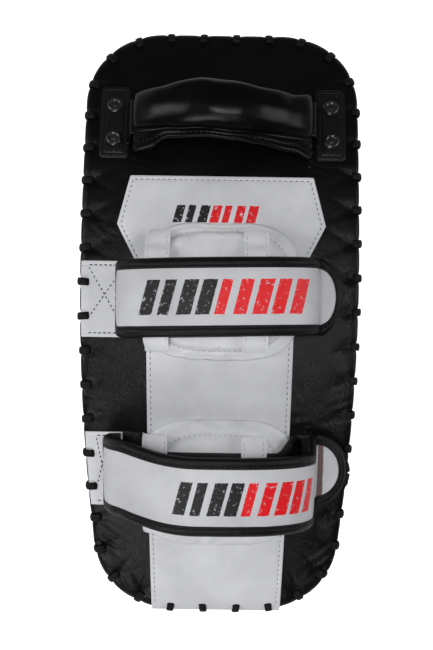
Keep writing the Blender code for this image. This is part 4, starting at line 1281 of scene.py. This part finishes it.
def outer_way(strap, off):
    """(angle, x, height, outward normal) along the arm's outer side, with a fillet into the tail."""
    angles = arm_angles(strap, FILLET_ANGLE)
    way = [(a, *arch(strap, a, off)) for a in angles]
    start = Vector(way[-1][1:])
    end = Vector((tail_start(strap) + 0.0020 + 0.0004, tail_top() + (off - LINING - GAP)))
    corner = Vector((mid(start.x, end.x, 0.25), end.y))
    for k in range(1, FILLET + 1):
        t = k / FILLET
        spot = start * (1 - t) ** 2 + corner * (2 * t * (1 - t)) + end * t * t
        way.append((mid(FILLET_ANGLE, 0.0, t), spot.x, spot.y))
    made = []
    for i, (a, x, h) in enumerate(way):
        before, after = way[max(i - 1, 0)], way[min(i + 1, len(way) - 1)]
        along = Vector((after[1] - before[1], after[2] - before[2])).normalized()
        made.append((a, x, h, Vector((-along.y, along.x))))
    return made


def tail_shift(strap, angle):
    return strap["tail_up"] * (1 - smooth(angle / 0.25))


def arm_place(strap, spot, y, off):
    """A point on the arm at a spot of its way, at y across the pad, off outwards."""
    angle, x, h, out = spot
    x, h = x + out.x * off, h + out.y * off
    place = on_back(x, y, h)
    place.y += droop(strap, x, angle) + tail_shift(strap, angle)
    return place


def arm_runs(strap):
    """Distance along the arm's face from where it passes x = 0."""
    way = outer_way(strap, LINING + GAP)
    points = [Vector((x, h)) for _, x, h, _ in way]
    runs = runs_of(points)
    zero = next(r + (0 - p.x) / max(q.x - p.x, 1e-9) * (q - p).length
                for r, p, q in zip(runs, points, points[1:]) if p.x <= 0 < q.x)
    return [r - zero for r in runs]


def run_at(strap, x):
    """The distance along the face where it is at x."""
    way, runs = outer_way(strap, LINING + GAP), arm_runs(strap)
    return next(mid(a, b, (x - p[1]) / max(q[1] - p[1], 1e-9))
                for a, b, p, q in zip(runs, runs[1:], way, way[1:]) if p[1] <= x < q[1])


# The binding folded over a strap's edge, as (across from the strap's middle, off its inner side).
BINDING_SECTION = (
    (0.0180, 0.0030), (0.0179, 0.0041), (0.0184, 0.0047), (0.0192, 0.0048), (0.0198, 0.0044),
    (0.0204, 0.0048),
    (0.0216, 0.0048), (0.0230, 0.0044), (0.0242, 0.0034), (0.0249, 0.0018), (0.0249, 0.0004),
    (0.0242, -0.0004),
    (0.0228, -0.0006), (0.0208, -0.0005), (0.0204, 0.0001), (0.0215, 0.0004), (0.0232, 0.0007),
    (0.0238, 0.0016),
    (0.0236, 0.0024), (0.0220, 0.0029), (0.0198, 0.0030),
)
WHITE_HALF = 0.0184


def strap_play(run, y):
    """Slow unevenness of a strap's layers."""
    return 0.0005 * noise.noise(Vector((run * 30, y * 18,
                                        1.0))) + 0.0003 * noise.noise(Vector((run * 80, y * 50,
                                            5.0)))


def make_arm(strap):
    name = strap["name"]
    way, runs = outer_way(strap, 0.0), arm_runs(strap)
    outer = outer_way(strap, LINING + GAP)
    last = len(way) - 1

    def bent(obj):
        start = on_back(strap["fold_x"] - OUTER, strap["y"], FOLD_H)
        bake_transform(obj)
        return obj

    leftmost = min(x for _, x, _, _ in outer)
    leg = next(r for r, (_, x, h, _) in zip(runs,
                                            outer) if x > leftmost + 0.0001 and h > FOLD_H + 0.005)

    def edge_of_white(i):
        """0 on the arm's leg at its fold, where the bindings meet, and 1 where the white face shows."""
        return smooth((runs[i] - leg) / 0.0025)

    ys = [WHITE_HALF * v for v in spread(-1.0, 1.0, 16)]

    def face(i, j):
        y = ys[j]
        crown = sizes().strap_crown * (1 - (y / WHITE_HALF) ** 4)
        off = crown + strap_play(runs[i], y)
        off -= 0.0003 * hump(abs(y) - WHITE_HALF + 0.0010, 0.0008)
        return arm_place(strap, outer[i], strap["y"] + y, off)

    obj = laid(f"{name}_arm_face_leather", last, 16, face, uv=lambda i, j: (runs[i], ys[j]))
    obj = with_wall(obj, FACE, rounding=0.0)
    bent(finished(obj, f"{name} strap leather painted darker", None, [f"{name}_arm_face"],
                  angle=60))

    section = smooth_loop(BINDING_SECTION)
    for edge, sign in (("top", 1), ("bottom", -1)):
        def fold(i, j):
            across, off = section[j % len(section)]
            inner = min(1.0, max(0.0, (0.0215 - across) / 0.0036)) if off > LINING else 0.0
            across = mid(across, 0.0006, inner * (1 - edge_of_white(i)))
            rise = off + strap_play(runs[i],
                                    sign * across) + 0.0002 * noise.noise(Vector((runs[i] * 160,
                                        sign, 0)))
            return arm_place(strap, way[i], strap["y"] + sign * across, rise)

        obj = laid(f"{name}_arm_binding_{edge}_leather", last, len(section), fold)
        obj = welded(obj, 1e-7, capped=True)
        bent(finished(obj, "black binding", None, [f"{name}_arm_binding_{edge}"],
                      angle=60))
    lines = []
    for sign in (-1, 1):
        lines.append([(arm_place(strap, way[i], strap["y"] + sign * 0.0198,
                                 0.0046 + strap_play(runs[i], sign * 0.0198)),
                       Vector((way[i][3].x, 0, way[i][3].y))) for i in range(6, last - FILLET)])
    bent(finished(threads(f"{name}_arm_stitching", lines, pitch=0.0034), "black thread"))

    inside = [0.0226 * v for v in spread(-1.0, 1.0, 10)]
    obj = laid(f"{name}_arm_lining_nap", last - FILLET, 10,
               lambda i, j: arm_place(strap, way[i], strap["y"] + inside[j],
                                      0.0009 + strap_play(runs[i], inside[j])))
    obj = with_wall(obj, 0.0014, rounding=0.0)
    bent(finished(obj, "hook and loop", None, [f"{name}_arm_lining"]))


def tail_spot(strap, angle, inset_x, inset_y):
    """A point of the tail's outline, in from its edge."""
    depth = strap["tail_x"] - inset_x - tail_start(strap)
    return tail_start(strap) + depth * math.cos(angle), centre_line(strap) + (STRAP_HALF - inset_y) * math.sin(angle)


def make_tail(strap):
    name = strap["name"]
    start, low = tail_start(strap) + 0.0012, tail_top()
    hinge = Vector((strap["crease_x"] + OUTER + TAIL_GAP, centre_line(strap), 0))

    def bent(obj):
        where = on_back(hinge.x, hinge.y, low)
        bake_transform(obj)
        return obj

    tip, side = strap["tip"], STRAP_HALF - 0.0180
    depth = strap["tail_x"] - tip - start
    columns = 14
    reach = arm_runs(strap)[-1]

    def face(i, j):
        u, v = i / columns, j / 20 * 2 - 1
        x = start + depth * u
        half = (STRAP_HALF - side) * math.sqrt(max(0.0, 1 - (u * 0.999) ** 2.3))
        y = centre_line(strap) + half * v
        h = low + 0.0005 * (1 - u * u) * (1 - v ** 4) + 0.0002 * noise.noise(Vector((x * 60, y * 60,
            3)))
        return on_back(x, y, h)

    obj = laid(f"{name}_tail_face_leather", columns, 20, face,
               uv=lambda i, j: (reach + depth * i / columns,
                                (j / 10 - 1) * 0.02 * math.sqrt(max(0.0, 1 - (i / columns) ** 2))))
    obj = with_wall(obj, FACE, rounding=0.0)
    bent(finished(obj, f"{name} strap leather painted darker", None, [f"{name}_tail_face"],
                  angle=60))

    # Section of the tail's binding: (share from the white's edge to the outer edge, height).
    roll = ((-0.06, low + 0.0004), (-0.05, low + 0.0014), (0.06, low + 0.0021),
            (0.20, low + 0.0023),
            (0.30, low + 0.0019), (0.40, low + 0.0023), (0.62, low + 0.0022), (0.82, low + 0.0016),
            (0.95, low + 0.0005), (1.0, low - 0.0008), (0.96, low - 0.0018), (0.84, low - 0.0022),
            (0.55, low - 0.0021), (0.50, low - 0.0014), (0.72, low - 0.0008), (0.50, low + 0.0002))
    roll = smooth_loop(roll)
    angles = spread(-math.pi / 2, math.pi / 2, 48)

    def fold(i, j):
        share, h = roll[j % len(roll)]
        out = angles[i]
        x, y = tail_spot(strap, out, tip * (1 - share), side * (1 - share))
        x = max(x, start)
        return on_back(x, y, h + 0.00015 * noise.noise(Vector((i * 0.5, 0, 7))))

    obj = welded(laid(f"{name}_tail_binding_leather", len(angles) - 1, len(roll), fold), 1e-7,
                 capped=True)
    bent(finished(obj, "black binding", None, [f"{name}_tail_binding"], angle=60))
    line = [(on_back(*tail_spot(strap, a, tip * 0.70, side * 0.70), low + 0.0020),
             up_from_back(strap["y"]))
            for a in spread(-1.5, 1.5, 60)]
    bent(finished(threads(f"{name}_tail_stitching", [line], pitch=0.0030, dash=0.0015),
                  "black thread"))

    floor = TONGUE_H + ROOT_LEG + GAP + LOOP + GAP

    def hooks(i, j):
        u, v = i / 10, j / 16 * 2 - 1
        depth = strap["tail_x"] - 0.0022 - start
        half = (STRAP_HALF - 0.0020) * math.sqrt(max(0.0, 1 - (u * 0.999) ** 2))
        return on_back(start + depth * u, centre_line(strap) + half * v, floor)

    obj = with_wall(laid(f"{name}_tail_hook_nap", 10, 16, hooks), HOOK, rounding=0.0)
    bent(finished(obj, "hook and loop", None, [f"{name}_tail_hook"]))


def cushion_top(strap, x, y):
    """Height of the cushion's outer side above the back, at x, y."""
    u = abs(x) / CUSHION_HALF_X
    v = abs(y - strap["cushion_y"]) / strap["cushion_half_y"]
    share = (u ** CUSHION_POWER + v ** CUSHION_POWER) ** (1 / CUSHION_POWER)
    across = min(1.0, share) ** (1 / 0.9)
    return CUSHION_BASE + (CUSHION_HIGH - CUSHION_BASE) * (1 - across * across) ** 0.4


def make_root(strap):
    """The sewn leg: from the anchor, over the cushion and under its keepers, to a rounded tongue."""
    name = strap["name"]
    start = strap["fold_x"] + ANCHOR_RIVET_IN + CAP_RADIUS + 0.0014
    bend_x = CUSHION_HALF_X + 0.0020
    straight = strap["tongue_x"] - 0.0200
    xs = [start, -bend_x - 0.0015, -bend_x] + spread(-CUSHION_HALF_X + 0.0015,
        CUSHION_HALF_X - 0.0015, 40)
    xs += [bend_x, bend_x + 0.0015] + spread(bend_x + 0.004, straight, 3)
    xs += [straight + 0.0200 * math.sin(math.radians(a)) for a in (15, 30, 42, 52, 61, 70, 77, 84,
        88)]
    vs = spread(-1.0, 1.0, 22)

    def half(x, v):
        across = mid(STRAP_HALF, strap["root_top"],
                     smooth((0.0500 - abs(x)) / 0.012)) if v > 0 else STRAP_HALF
        return across * math.sqrt(max(0.0, 1 - (max(0.0, x - straight) / 0.0200) ** 2))

    def height(x, y):
        if x < -bend_x - 1e-6:
            return GAP + TAB + GAP
        if x > CUSHION_HALF_X:
            return TONGUE_H
        over = [cushion_top(strap, x + step, y + side) for step in (-0.003, 0.0,
            0.003) for side in (-0.003, 0.0, 0.003)]
        return max(max(over) + ROOT_RISE, TONGUE_H)

    def place(i, j):
        x = xs[i]
        lean = 2 * strap["rise"] * min(max((x + 0.0525) / 0.105, 0.0), 1.0)
        y = strap["y"] + vs[j] * half(x, vs[j]) + lean
        return on_back(x, y, height(x, y) - 0.0003 * abs(vs[j]) ** 8)

    obj = with_wall(laid(f"{name}_strap_root_leather", len(xs) - 1, len(vs) - 1, place), ROOT_LEG,
                    rounding=0.0004)
    finished(obj, "black binding", "pad", [f"{name}_strap_root"], angle=60)
    line = [(on_back(straight + 0.0176 * math.cos(a),
                     strap["y"] + 2 * strap["rise"] + (STRAP_HALF - 0.0024) * math.sin(a),
                     TONGUE_H + ROOT_LEG + 0.0002), up_from_back(strap["y"])) for a in spread(-1.5,
                         1.5, 50)]
    finished(threads(f"{name}_tongue_stitching", [line], pitch=0.0030), "black thread",
             "pad")

    low = TONGUE_H + ROOT_LEG + GAP
    first, depth = CUSHION_HALF_X + 0.0035, strap["tail_x"] - 0.0015 - CUSHION_HALF_X - 0.0035

    def loops(i, j):
        u, v = i / 14, j / 18 * 2 - 1
        half_y = (STRAP_HALF - 0.0015) * math.sqrt(max(0.0, 1 - (u * 0.999) ** 2))
        x, y = first + depth * u, strap["y"] + 2 * strap["rise"] + half_y * v
        return on_back(x, y, low + 0.00015 * noise.noise(Vector((x * 300, y * 300, 0))))

    obj = with_wall(laid(f"{name}_loop_patch_nap", 14, 18, loops), LOOP, rounding=0.0)
    finished(obj, "hook and loop", "pad", [f"{name}_loop_patch"])

    fold_low = GAP + TAB + GAP + CAP_HEIGHT + 0.0004
    rise = FOLD_H - fold_low - 0.0004
    back = start - 0.0010
    reach = back - strap["fold_x"] + LINING
    turn = spread(math.pi * 0.985, math.pi * 1.5, 12)
    vs_fold = spread(-STRAP_HALF + 0.0003, STRAP_HALF - 0.0003, 16)

    def wrap(i, j):
        play = 0.0002 * noise.noise(Vector((i * 0.4, vs_fold[j] * 60, 0)))
        return on_back(back + reach * math.cos(turn[i]), strap["y"] + vs_fold[j],
                       fold_low + rise * (1 + math.sin(turn[i])) + play)

    obj = with_wall(laid(f"{name}_strap_fold_leather", 12, 16, wrap), 0.0011, rounding=0.0003)
    finished(obj, "black binding", "pad", [f"{name}_strap_fold"], angle=60)


def make_anchor(strap):
    """The white tab from beside the lacing to under the strap's fold, sewn round its edge and across."""
    name = strap["name"]
    low, high = strap["y"] - STRAP_HALF + 0.0002, strap["y"] + STRAP_HALF - 0.0002
    inner = min(strap["fold_x"] + 0.0130, -panel_half(high) - 0.0006)
    ys = edge_stations(low, high, 14)
    shares = spread(0, 1, 22)

    def left(y):
        return -half_width(y) - 0.0016

    def place(i, j):
        y = ys[j]
        x = mid(left(y), inner, shares[i] ** 1.3)
        inset = min(y - low, high - y)
        h = GAP + seam_dip(inset) + rim_fall(x + half_width(y))
        h += 0.0003 * noise.noise(Vector((x * 60, y * 60, 6)))
        return on_back(x, y, h)

    tab = with_wall(laid(f"{name}_anchor_tab_leather", 22, len(ys) - 1, place), TAB)
    finished(tab, "white leather", "pad", [f"{name}_anchor_tab"])

    def at(x, y):
        return on_back(x, y, GAP + TAB + 0.0000), up_from_back(y)

    x_low, x_high = max(left(low), left(high)) + 0.0036, strap["fold_x"] - 0.0045
    y_low, y_high = low + SEAM_INSET, high - SEAM_INSET
    lines = [[at(x, y) for x in spread(x_low, x_high, 4)] for y in (y_low, y_high)]
    for a, b in ((y_low + 0.009, y_high - 0.007), (y_high - 0.001, y_low + 0.011)):
        lines.append([at(mid(x_low, x_high, t), mid(a, b, t)) for t in spread(0, 1, 8)])
    finished(threads(f"{name}_anchor_stitching", lines, pitch=0.0032, dash=0.0016), "dark thread",
             "pad")


# ---------------------------------------------------------------- forearm cushions

CUSHION_COLUMNS = 144
# Rings of the cushion, as distance in from its outline; the first two are tucked under it.
CUSHION_INSETS = (0.0030, 0.0010, 0.0, 0.0, 0.0008, 0.0018, 0.0030, 0.0040, 0.0049, 0.0057, 0.0065,
                  0.0073, 0.0081, 0.0089,
                  0.0096, 0.0104, 0.0114, 0.0128, 0.0150, 0.0182, 0.0220, 0.0260, 0.0300, 0.0340,
                  0.0380, 0.0420)


def cushion_spot(strap, i, inset):
    """A point over the cushion, in from its outline towards its middle."""
    a = math.tau * i / CUSHION_COLUMNS
    u, v = math.cos(a), math.sin(a)
    r = (abs(u) ** CUSHION_POWER + abs(v) ** CUSHION_POWER) ** (-1 / CUSHION_POWER)
    share = 1 - inset / strap["cushion_half_y"]
    return CUSHION_HALF_X * r * u * share, strap["cushion_half_y"] * r * v * share + strap["cushion_y"]


def make_cushion(strap):
    name = strap["name"]
    rings = list(CUSHION_INSETS) + [strap["cushion_half_y"]]

    def place(i, j):
        inset = rings[j]
        x, y = cushion_spot(strap, i % CUSHION_COLUMNS, inset)
        if j < 3:
            h = (CUSHION_BASE - 0.0012, CUSHION_BASE - 0.0010, CUSHION_BASE)[j]
        elif j == 3:
            h = CUSHION_BASE + 0.0018
        else:
            h = cushion_top(strap, x, y)
            h = min(h, mid(0.0050, CUSHION_HIGH, smooth((inset - 0.0015) / 0.014) ** 0.7))
            h -= sizes().cushion_seam * 0.5 * hump(inset - strap["seam_in"], 0.0016)
        return on_back(x, y, h)

    cover = welded(laid(f"{name}_cushion_leather", CUSHION_COLUMNS, len(rings) - 1, place), 1e-6)
    puff(cover, strap)
    shape_seam(cover, strap)
    finished(cover, "cushion leather", "pad", [f"{name}_cushion_cover"], angle=70)
    ring = [cushion_spot(strap, i, strap["seam_in"]) for i in range(CUSHION_COLUMNS + 1)]
    top = surface_heights(cover)
    line = [(Vector((x, y, top(x, y) + 0.0002)), up_from_back(y)) for x, y in ring]
    finished(threads(f"{name}_cushion_stitching", [line], pitch=0.0034, dash=0.0018),
             "white thread", "pad")


def surface_heights(obj):
    """A function that gives the height of obj's top over x, y."""
    def top(x, y):
        hit, spot, _, _ = obj.ray_cast(Vector((x, y, 0.4)), Vector((0, 0, -1)))
        return spot.z if hit else on_back(x, y, CUSHION_BASE).z
    return top


def cushion_inset(strap, x, y):
    u, v = abs(x) / CUSHION_HALF_X, abs(y - strap["cushion_y"]) / strap["cushion_half_y"]
    share = (u ** CUSHION_POWER + v ** CUSHION_POWER) ** (1 / CUSHION_POWER)
    return (1 - share) * strap["cushion_half_y"]


def shape_seam(cover, strap):
    """Pulls the sewn seam into the cushion, with small gathers along it."""
    for vertex in cover.data.vertices:
        x, y, _ = vertex.co
        inset = cushion_inset(strap, x, y)
        if inset < 0.0012:
            continue
        turn = math.atan2(y - strap["cushion_y"], x)
        gathers = 0.6 + 0.4 * noise.noise(Vector((math.cos(turn) * 9, math.sin(turn) * 9, 2)))
        vertex.co.z -= sizes().cushion_seam * 0.5 * hump(inset - strap["seam_in"], 0.0013)
        side = 0.0006 * noise.noise(Vector((math.cos(turn) * 22, math.sin(turn) * 22, 8)))
        vertex.co.z += side * gathers * hump(inset - strap["seam_in"] - 0.0045, 0.005)


def puff(cover, strap):
    """Fills the cushion with air pressure as cloth, pinned at its foot and seam, and caps how far it moves."""
    before = [v.co.copy() for v in cover.data.vertices]
    pins = cover.vertex_groups.new(name="pins")
    for vertex in cover.data.vertices:
        x, y, z = vertex.co
        inset = cushion_inset(strap, x, y)
        foot = z < on_back(x, y, CUSHION_BASE + 0.001).z
        held = 1.0 if foot else 0.75 * hump(inset - strap["seam_in"], 0.0010)
        pins.add([vertex.index], held, "REPLACE")
    cloth = cover.modifiers.new("filling", "CLOTH")
    settings = cloth.settings
    settings.quality = 6
    settings.mass = 0.25
    settings.tension_stiffness = settings.compression_stiffness = 12
    settings.shear_stiffness = 6
    settings.bending_stiffness = 1.2
    settings.vertex_group_mass = "pins"
    settings.use_pressure = True
    settings.uniform_pressure_force = 4
    settings.effector_weights.gravity = 0
    settings.shrink_min = -0.03
    cloth.collision_settings.use_collision = False
    cloth.point_cache.frame_start, cloth.point_cache.frame_end = 1, 20
    scene = bpy.context.scene
    for step in range(1, 21):
        scene.frame_set(step)
    applied(cover)
    scene.frame_set(1)
    cap = sizes().cushion_puff
    for vertex, old in zip(cover.data.vertices, before):
        move = vertex.co - old
        if move.length > cap:
            vertex.co = old + move * (cap / move.length)
        vertex.co.z = max(vertex.co.z, old.z)
    cover.vertex_groups.clear()


def make_keepers(strap):
    """The two leather loops on the cushion that the strap's sewn leg passes under."""
    for side, middle in zip(("left", "right"), KEEPER_X):
        reach = strap["cushion_half_y"] - strap["seam_in"] - 0.0002
        us, vs = edge_stations(-KEEPER_HALF, KEEPER_HALF, 1), spread(-reach, reach, 44)
        us = sorted(set(round(u, 5) for u in us if abs(u) <= KEEPER_HALF))

        def lift(u, v):
            y = strap["cushion_y"] + v
            near = abs(y - strap["y"] - 0.0015)
            bump = (ROOT_LEG + 0.0022) * smooth((0.0345 - near) / 0.0060)
            top = max(cushion_top(strap, middle + u + step, y + side_step)
                      for step in (-0.003, 0.0, 0.003) for side_step in (-0.002, 0.0, 0.002))
            end = smooth((reach - abs(v)) / 0.004)
            return top + mid(0.0001, 0.0010, end) + bump

        def place(i, j):
            u, v = us[i], vs[j]
            inset = KEEPER_HALF - abs(u)
            return on_back(middle + u, strap["cushion_y"] + v,
                           lift(u, v) + seam_dip(inset + 0.0006))

        keeper = with_wall(laid(f"{strap['name']}_keeper_{side}_leather", len(us) - 1, len(vs) - 1,
                                place), KEEPER)
        finished(keeper, "cushion leather", "pad",
                 [f"{strap['name']}_keeper_{side}"])
        lines = []
        for edge in (-1, 1):
            u = edge * (KEEPER_HALF - 0.0018)
            lines.append([(on_back(middle + u, strap["cushion_y"] + v,
                                   lift(u, v) + KEEPER - 0.0002),
                           up_from_back(strap["y"])) for v in vs[2:-2]])
        finished(threads(f"{strap['name']}_keeper_{side}_stitching", lines, pitch=0.0032,
                         dash=0.0015), "white thread",
                 "pad")


# ---------------------------------------------------------------- stage

def soft_box(name, place, target, power, width, height):
    lamp = bpy.data.lights.new(name, "AREA")
    lamp.shape, lamp.size, lamp.size_y, lamp.energy = "RECTANGLE", width, height, power
    obj = bpy.data.objects.new(name, lamp)
    bpy.context.scene.collection.objects.link(obj)
    obj.location = place
    obj.rotation_euler = (Vector(target) - Vector(place)).to_track_quat("-Z", "Y").to_euler()
    return obj


def make_stage():
    scene = bpy.context.scene
    deselected()
    bpy.ops.mesh.primitive_plane_add(size=8, location=(0, 0, -0.0004))
    floor = bpy.context.object
    floor.name = "studio_floor"
    material = bpy.data.materials.new("studio floor")
    material.use_nodes = True
    tree = material.node_tree
    tree.nodes.clear()
    matt = put(tree, "ShaderNodeBsdfDiffuse", {"Color": (0.80, 0.80, 0.80, 1)})
    glow = put(tree, "ShaderNodeEmission", {"Color": (1, 1, 1, 1), "Strength": 0.93})
    camera_sees = put(tree, "ShaderNodeAddShader", {0: matt.outputs[0], 1: glow.outputs[0]})
    seen = put(tree, "ShaderNodeLightPath").outputs["Is Camera Ray"]
    mix = put(tree, "ShaderNodeMixShader", {0: seen, 1: matt.outputs[0], 2: camera_sees.outputs[0]})
    put(tree, "ShaderNodeOutputMaterial", {"Surface": mix.outputs[0]})
    floor.data.materials.append(material)

    world = bpy.data.worlds.new("studio")
    scene.world = world
    world.use_nodes = True
    tree = world.node_tree
    tree.nodes.clear()
    dim = put(tree, "ShaderNodeBackground", {"Color": (1, 1, 1, 1), "Strength": 0.10})
    pale = put(tree, "ShaderNodeBackground", {"Color": (1, 1, 1, 1), "Strength": 1.0})
    seen = put(tree, "ShaderNodeLightPath").outputs["Is Camera Ray"]
    mix = put(tree, "ShaderNodeMixShader", {0: seen, 1: dim.outputs[0], 2: pale.outputs[0]})
    put(tree, "ShaderNodeOutputWorld", {"Surface": mix.outputs[0]})

    middle = (0, 0, 0.09)
    soft_box("lower_left_softbox", (-0.42, -1.05, 0.98), middle, 4.6, 0.55, 0.40)
    soft_box("left_softbox", (-1.25, 0.15, 0.95), middle, 7.2, 0.7, 0.9)
    soft_box("right_softbox", (1.25, 0.15, 0.95), middle, 5.8, 0.7, 0.9)
    soft_box("overhead_softbox", (-0.04, 0.05, 1.40), middle, 1.9, 0.20, 0.20)
    soft_box("front_softbox", (-0.14, -0.66, 1.32), middle, 1.5, 0.30, 0.22)
    soft_box("camera_side", (0.0, 0.02, 1.02), (0, 0.13, 0.13), 0.8, 0.06, 0.06)

    camera = bpy.data.cameras.new("camera")
    camera.lens, camera.sensor_width, camera.sensor_fit = 52.0, 36.0, "AUTO"
    camera.clip_start = 0.01
    view = bpy.data.objects.new("camera", camera)
    scene.collection.objects.link(view)
    view.location = (-0.0023, -0.00165, 0.72885)
    view.rotation_euler = (0, 0, math.radians(0.85))
    scene.camera = view
    scene.view_settings.view_transform = "Standard"


# ---------------------------------------------------------------- the add-on

def finish_cad_nodes():
    """Gives every CAD solid that nothing replaces its procedural finish."""
    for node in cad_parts.values():
        slots = node.material_slots
        for slot in slots:
            name = slot.material.name.split(".")[0] if slot.material else ""
            finish = CAD_FINISHES.get(name)
            if finish is None:
                raise RuntimeError(f"{node.name} has no finish for {name!r}")
            slot.material = bpy.data.materials[finish]


class PieceOperator:
    bl_options = {"REGISTER", "UNDO"}

    def execute(self, context):
        self.build()
        return {"FINISHED"}


def operator(idname, label, words, *builders):
    """An operator class that runs the builders in order."""
    def build(self):
        for builder in builders:
            builder()
    return type("THAI_PAD_OT_" + idname, (PieceOperator, bpy.types.Operator),
                {"bl_idname": "thai_pad." + idname, "bl_label": label, "__doc__": words,
                 "build": build})


def for_straps(make):
    def both():
        for strap in STRAPS:
            make(strap)
    return both


OPERATORS = (
    operator("finishes", "Finishes", "Make every material and give the hidden solids theirs",
             make_finishes,
             finish_cad_nodes),
    operator("block", "Pad block", "Make the leather of the pad's back, sides and striking face",
             make_block),
    operator("lacing", "Edge lacing", "Make the lace round the pad's edge", make_lacing),
    operator("panel", "Centre panel", "Make the white panel and its stitching", make_panel),
    operator("rivets", "Rivets", "Make the rivet caps", make_rivets),
    operator("handle", "Handle", "Make the grip, its ends and its tabs", make_grip,
             make_handle_ends),
    operator("cushions", "Cushions", "Make the forearm cushions and their keepers",
             for_straps(make_cushion),
             for_straps(make_keepers)),
    operator("roots", "Strap roots", "Make the anchors and the straps' sewn legs",
             for_straps(make_anchor),
             for_straps(make_root)),
    operator("arms", "Arm straps", "Make the straps' arms and tails", for_straps(make_arm),
             for_straps(make_tail)),
    operator("stage", "Stage", "Make the floor, lights and camera", make_stage),
)


class THAI_PAD_PT_panel(bpy.types.Panel):
    bl_label = "Thai pad"
    bl_space_type = "VIEW_3D"
    bl_region_type = "UI"
    bl_category = "Thai pad"

    def draw(self, context):
        for group_of_settings in (context.scene.thai_pad_sizes, context.scene.thai_pad_colours):
            box = self.layout.box()
            for key in group_of_settings.__annotations__:
                box.prop(group_of_settings, key)
        for kind in OPERATORS:
            self.layout.operator(kind.bl_idname)


CLASSES = (PadSizes, PadColours, *OPERATORS, THAI_PAD_PT_panel)


def register():
    for kind in CLASSES:
        bpy.utils.register_class(kind)
    bpy.types.Scene.thai_pad_sizes = PointerProperty(type=PadSizes)
    bpy.types.Scene.thai_pad_colours = PointerProperty(type=PadColours)


def unregister():
    del bpy.types.Scene.thai_pad_sizes, bpy.types.Scene.thai_pad_colours
    for kind in reversed(CLASSES):
        bpy.utils.unregister_class(kind)


def main():
    register()
    for kind in OPERATORS:
        getattr(bpy.ops.thai_pad, kind.bl_idname.split(".")[1])()


if __name__ == "__main__":
    main()
